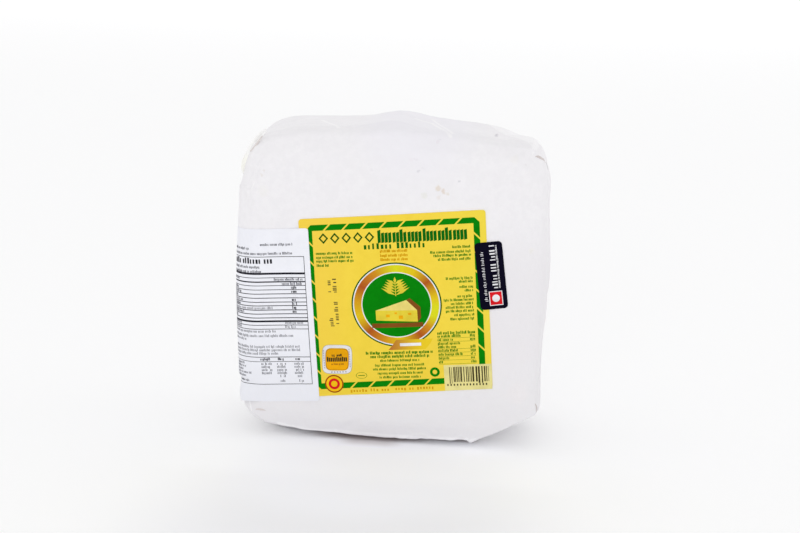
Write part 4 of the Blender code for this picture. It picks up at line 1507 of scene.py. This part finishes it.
seals = {
    "squareAt": (-36.75, -33.05), "roundAt": (-39.65, -48.3),
    "outer": {"square": 5, "lean": (0.075, -0.029)},
    "inner": {"square": 5, "lean": (0.075, -0.029), "stretch": 0.955},
    # name, radii, finish, layer and shape
    "square": [("sealLine", (9.1, 8.85), "rimGrey", 0, "outer"),
               ("sealFrame", (8.85, 7.05), "lilac", 0, "outer"),
               ("sealRim", (7.05, 6.65), "sealRim", 1, "inner"),
               ("sealField", (6.65, 5, 2.5, 0), "orange", 1, "inner")],
    "round": [("roundSealLine", (5.55, 4.85), "darkRed"), ("roundSealGold", (4.85, 3.4), "amber"),
              ("roundSealRed", (3.4, 1.9), "red"), ("roundSealMiddle", (1.9, 0.9, 0), "amber")],
    # a row of strokes: number, first one's left, step, width, foot, top, and what most are shorter
    "strokes": (11, -42.9, 1.13, 0.86, -34.4, -31.4, 0.45), "tall": (0, 5, 8),
    # rows of small marks round the frame: number, first one's box, and the step across and up
    "marks": [(6, (-41.0, -41.3, -40.1, -40.5), (1.7, 0)), (8, (-44.9, -38.5, -44.4, -37.6), (0, 1.5)),
              (8, (-29.4, -38.0, -28.9, -37.1), (0, 1.5))],
}


def printSeals():
    slot = "yellow_label"
    for name, radii, finish, layer, shape in seals["square"]:
        inkRing(name, front, seals["squareAt"], radii, finish, slot, layer, **seals[shape])
    blocks = words((-39.8, -33.2, -30.6), 1.2, 800, weight=0.7, pitch=0.9)
    count, left, step, wide, foot, top, shorter = seals["strokes"]
    for number in range(count):
        start = left + number * step
        blocks.append(bar(start, foot, start + wide, top if number in seals["tall"] else top - shorter))
    inkPiece("sealBars", front, blocks, "barInk", slot, 2)
    blocks = words((-40.4, -33.0, -36.0), 0.8, 810, weight=0.6)
    inkPiece("sealWords", front, blocks, "rindBrown", slot, 2)
    blocks = []
    for count, (left, low, right, high), (across, up) in seals["marks"]:
        for number in range(count):
            blocks += about((number * across, number * up), [bar(left, low, right, high)])
    inkPiece("sealMarks", front, blocks, "greyMark", slot, 1)
    for name, radii, finish in seals["round"]:
        inkRing(name, front, seals["roundAt"], radii, finish, slot, 2, segments=48)
    inkRing("ovalMark", front, (-22.8, -43.4), (3.3, 3.05), "wordGreen", slot, stretch=0.6, segments=48)
    inkPiece("ovalBar", front, [bar(-24.8, -43.6, -20.8, -43.2)], "wordGreen", slot)
    inkRing("discMark", front, (21.1, -42.4), (2.9, 1.4), "green", slot, segments=40)


printEmblem()
printSeals()
print("big label printed")


# The facts label: box, rules and rows

factsPrint = {
    # lines of words: left, right and middle height in mm; the upper ones are printed darker
    "darkWords": [
        (2.3, 22.3, 41.3), (-30.0, -4.7, 38.9), (-30.0, 21.8, 35.9),
        (-27.5, 1.2, 27.8), (-27.5, 2.4, 25.1), (9.1, 26.7, 20.2), (13.8, 25.9, 17.5), (-27.5, -14.0, 20.6),
    ],
    "words": [
        (-25.0, 7.5, 2.9), (14.3, 26.3, -6.3), (14.1, 20.8, -8.7), (-27.5, -14.0, -6.3), (-27.5, -14.0, -8.7),
        (-27.5, 8.3, -11.4), (-27.5, 18.4, -14.2), (-27.5, -11.0, -16.4),
        (-27.5, 22.5, -20.9), (-27.5, 22.7, -23.0), (-27.5, 9.1, -25.1),
    ],
    "bold": [(-2.6, 3.9, -28.6), (8.1, 11.7, -28.6), (18.8, 22.0, -28.6)],
    "heading": (-28.0, 9.2, 31.3),
    # rules: height, thickness
    "rules": [(23.9, 1.20), (21.4, 0.36), (18.9, 0.75), (16.6, 0.37), (14.1, 0.37), (11.6, 0.44), (9.1, 0.44),
              (6.6, 0.44), (4.4, 0.44), (1.8, 0.46), (-0.6, 0.46), (-3.0, 0.46), (-5.1, 1.10), (-7.5, 0.37),
              (-9.9, 0.36), (-27.2, 0.36), (-30.0, 0.28)],
    # heights of the bold shares at the right, and the rows' names: height and right end
    "shares": [15.3, 12.8, 7.8, 5.4, 3.0, 0.6], "shareSpan": (19.2, 22.6),
    "names": [(15.3, -16.0), (12.8, -13.0), (10.3, -17.0), (7.8, -12.0), (5.4, -14.5), (0.6, -11.5),
              (-1.8, -19.0)],
    "nameLeft": -27.5,
    # the table at the foot: height, number of columns and the name's right end
    "rows": [(-31.5, 3, -14.0), (-33.4, 3, -13.0), (-35.3, 3, -14.5), (-37.2, 3, -8.5), (-39.2, 2, -13.5),
             (-42.2, 2, -11.5)],
    "rowLeft": -22.0, "columns": [(-2.1, 4.4), (7.4, 13.1), (18.0, 23.8)],
    "shortInset": 1.6,      # rows of two columns have shorter figures
    "box": (-28.3, -44.2, 28.3, 34.2),
}


def printFacts():
    slot = "white_label"
    box = factsPrint["box"]
    blocks = frameBars(*box, 0.32)
    for height, thick in factsPrint["rules"]:
        blocks.append(bar(box[0], height - thick / 2, box[2], height + thick / 2))
    inkPiece("factsRules", facts, blocks, "black", slot)
    blocks = words(factsPrint["heading"], 2.6, 7, weight=0.62, pitch=0.70)
    for number, height in enumerate(factsPrint["shares"]):
        blocks += words((*factsPrint["shareSpan"], height), 1.3, 600 + number, weight=0.70)
    inkPiece("factsHeading", facts, blocks, "black", slot)
    blocks = linesOf(factsPrint["darkWords"], 1.15, 500, weight=0.60)
    blocks += linesOf(factsPrint["words"], 1.15, 508, weight=0.46)
    blocks += linesOf(factsPrint["bold"], 1.15, 560, weight=0.8)
    for number, (height, right) in enumerate(factsPrint["names"]):
        blocks += words((factsPrint["nameLeft"], right, height), 1.15, 620 + number)
    for number, (height, count, nameRight) in enumerate(factsPrint["rows"]):
        blocks += words((factsPrint["rowLeft"], nameRight, height), 1.05, 640 + number, weight=0.50)
        inset = factsPrint["shortInset"] if count == 2 else 0
        for column, (left, right) in enumerate(factsPrint["columns"][3 - count:]):
            blocks += words((left + inset, right - inset / 2, height), 1.15, 660 + number * 4 + column,
                            weight=0.52, fill=0.9)
    inkPiece("factsWords", facts, blocks, "thinBlack", slot)


# lines of words that run upward on the sticker: from, to and where across, then height, weight and pitch
stickerWords = [((-15.0, 15.5, -4.0), 1.25, 0.38, 0.78), ((-7.6, 18.2, 2.2), 2.3, 0.45, 0.76),
                ((-7.6, 18.0, 4.3), 0.8, 0.6, 0.66)]


def printSticker():
    slot, blocks = "navy_sticker", []
    for number, (line, height, weight, pitch) in enumerate(stickerWords):
        blocks += upright(words(line, height, 700 + number * 10, weight, pitch), line[2])
    inkPiece("stickerWords", sticker, blocks, "whiteInk", slot)
    inkPiece("stickerSquareRim", sticker, frameBars(-2.4, -17.9, 5.4, -9.3, 0.45), "whiteInk", slot)
    inkPiece("stickerSquare", sticker, [bar(-1.95, -17.45, 4.95, -9.75)], "red", slot)
    inkRing("stickerDot", sticker, (1.5, -13.6), (2.2, 1.1, 0), "whiteInk", slot, 1, segments=40)


printFacts()
printSticker()
print("facts label and sticker printed")


# Camera, light and floor

view = {"pivot": (0, 0, 0.095), "distance": 1.0, "azimuth": 7.0, "elevation": 13.5, "roll": 1.4,
        "target": (0.00277, 0.0014, 0.0995), "lens": 73.8}


def makeCamera():
    side, up = radians(view["azimuth"]), radians(view["elevation"])
    away = Vector((sin(side) * cos(up), -cos(side) * cos(up), sin(up)))
    place = Vector(view["pivot"]) + away * view["distance"]
    data = bpy.data.cameras.new("photoView")
    data.lens = view["lens"]
    data.clip_start, data.clip_end = 0.01, 60
    camera = bpy.data.objects.new("photoView", data)
    bpy.context.scene.collection.objects.link(camera)
    aim = (Vector(view["target"]) - place).to_track_quat("-Z", "Y").to_matrix()
    aim = aim @ Matrix.Rotation(radians(view["roll"]), 3, "Z")
    camera.matrix_world = Matrix.Translation(place) @ aim.to_4x4()
    bpy.context.scene.camera = camera


light = {
    # name: place, aim, width, height, power
    "frontSoftbox": ((0.1, -2.2, 0.7), (0, 0, 0.10), 1.6, 1.2, 6.8),
    "leftSoftbox": ((-1.7, 0.1, 0.5), (0, 0, 0.05), 1.0, 1.0, 1.0),
    "rightSoftbox": ((1.6, 0.3, 0.7), (0, 0, 0.08), 0.9, 0.9, 1.3),
    "backWall": ((0.0, 5.0, 1.5), (0, 0.0, 1.5), 7.0, 3.0, 40),
}
studio = {
    "sky": (1.0, 1.0, 1.0), "skyPower": 0.89,
    # painted shadow, darker before the pack: its middle, where it starts to fade and where it ends
    "floorNear": (0.850, 0.850, 0.876), "floorFar": (0.962, 0.962, 0.962),
    "dullAt": (0.0, -0.19, 0.0), "dullReach": (0.04, 0.15),
    # painted tint of light: the floor takes a cool tone close before the front
    "cool": (0.925, 0.932, 0.990), "coolAt": (-0.005, -0.095, 0.0), "coolReach": (0.03, 0.095),
    # and has painted shade under the pack, a painted contact shadow: for each zone its middle in x and y,
    # how far it is full and where it ends, both from the middle in x and y, and its strength
    "floorUnder": (0.375, 0.290, 0.268),
    "zones": [
        ((-5 * mm, 6 * mm), (45 * mm, 25 * mm), (56 * mm, 33 * mm), 0.55),
        ((-9 * mm, 0), (14 * mm, 28 * mm), (46 * mm, 39 * mm), 1.0),
        ((-8 * mm, -37 * mm), (8 * mm, 2 * mm), (24 * mm, 13 * mm), 0.42),
        ((43 * mm, -24 * mm), (8 * mm, 2 * mm), (16 * mm, 7 * mm), 0.55),
    ],
    # a faint light of its own stands for the white room, and two zones glow more, as painted light
    "floorGlow": 0.022, "glowColour": (0.80, 0.84, 1.0),
    "glints": [
        ((58 * mm, -39 * mm), (6 * mm, 2 * mm), (32 * mm, 16 * mm), 0.075),
        ((0, -74 * mm), (60 * mm, 16 * mm), (150 * mm, 40 * mm), 0.035),
    ],
}


def makeLights():
    for name, (place, aim, width, height, power) in light.items():
        data = bpy.data.lights.new(name, "AREA")
        data.shape = "RECTANGLE"
        data.size, data.size_y, data.energy = width, height, power
        lamp = bpy.data.objects.new(name, data)
        bpy.context.scene.collection.objects.link(lamp)
        lamp.location = place
        lamp.rotation_euler = (Vector(aim) - Vector(place)).to_track_quat("-Z", "Y").to_euler()
    world = bpy.data.worlds.new("paleRoom")
    bpy.context.scene.world = world
    world.use_nodes = True
    sky = world.node_tree.nodes["Background"]
    sky.inputs["Color"].default_value = (*studio["sky"], 1)
    sky.inputs["Strength"].default_value = studio["skyPower"]
    bpy.context.scene.view_settings.view_transform = "Standard"


def zoneShare(tree, parts, middles, fulls, ends, strength):
    # strength inside a rectangle on the floor, fading to 0 outside it
    shares = []
    for part, middle, full, end in zip((parts["X"], parts["Y"]), middles, fulls, ends):
        off = addMath(tree, "ABSOLUTE", addMath(tree, "SUBTRACT", part, middle))
        shares.append(spread(tree, off, full, end, 1.0, 0.0))
    return addMath(tree, "MULTIPLY", addMath(tree, "MULTIPLY", *shares), strength)


def makeFloor():
    pickNothing()
    bpy.ops.mesh.primitive_plane_add(size=24, location=(0, 6, 0))
    floor = bpy.context.object
    floor.name = "floor"
    bpy.ops.object.transform_apply(location=True)
    finish, tree, shader = newFinish("paleFloor", studio["floorNear"], 0.8)
    where = objectPlace(tree)
    parts = splitPlace(tree, where)
    # painted shadow: the floor is darker before the pack
    share = spread(tree, addVectorMath(tree, "DISTANCE", where, studio["dullAt"]), *studio["dullReach"])
    colour = mixColour(tree, share, studio["floorNear"], studio["floorFar"])
    # painted cool tint of light before the front
    away = addVectorMath(tree, "DISTANCE", where, studio["coolAt"])
    share = spread(tree, away, *studio["coolReach"], 1.0, 0.0)
    colour = mixColour(tree, share, colour, studio["cool"])
    # painted contact shadow under and just before the pack
    for zone in studio["zones"]:
        colour = mixColour(tree, zoneShare(tree, parts, *zone), colour, studio["floorUnder"])
    tree.links.new(colour, shader.inputs["Base Color"])
    shader.inputs["Emission Color"].default_value = (*studio["glowColour"], 1)
    glow = studio["floorGlow"]
    # painted light: the glint zones make the floor glow more
    for zone in studio["glints"]:
        glow = addMath(tree, "ADD", zoneShare(tree, parts, *zone), glow)
    tree.links.new(glow, shader.inputs["Emission Strength"])
    floor.data.materials.append(finish)


makeCamera()
makeLights()
makeFloor()
print("camera, light and floor made")
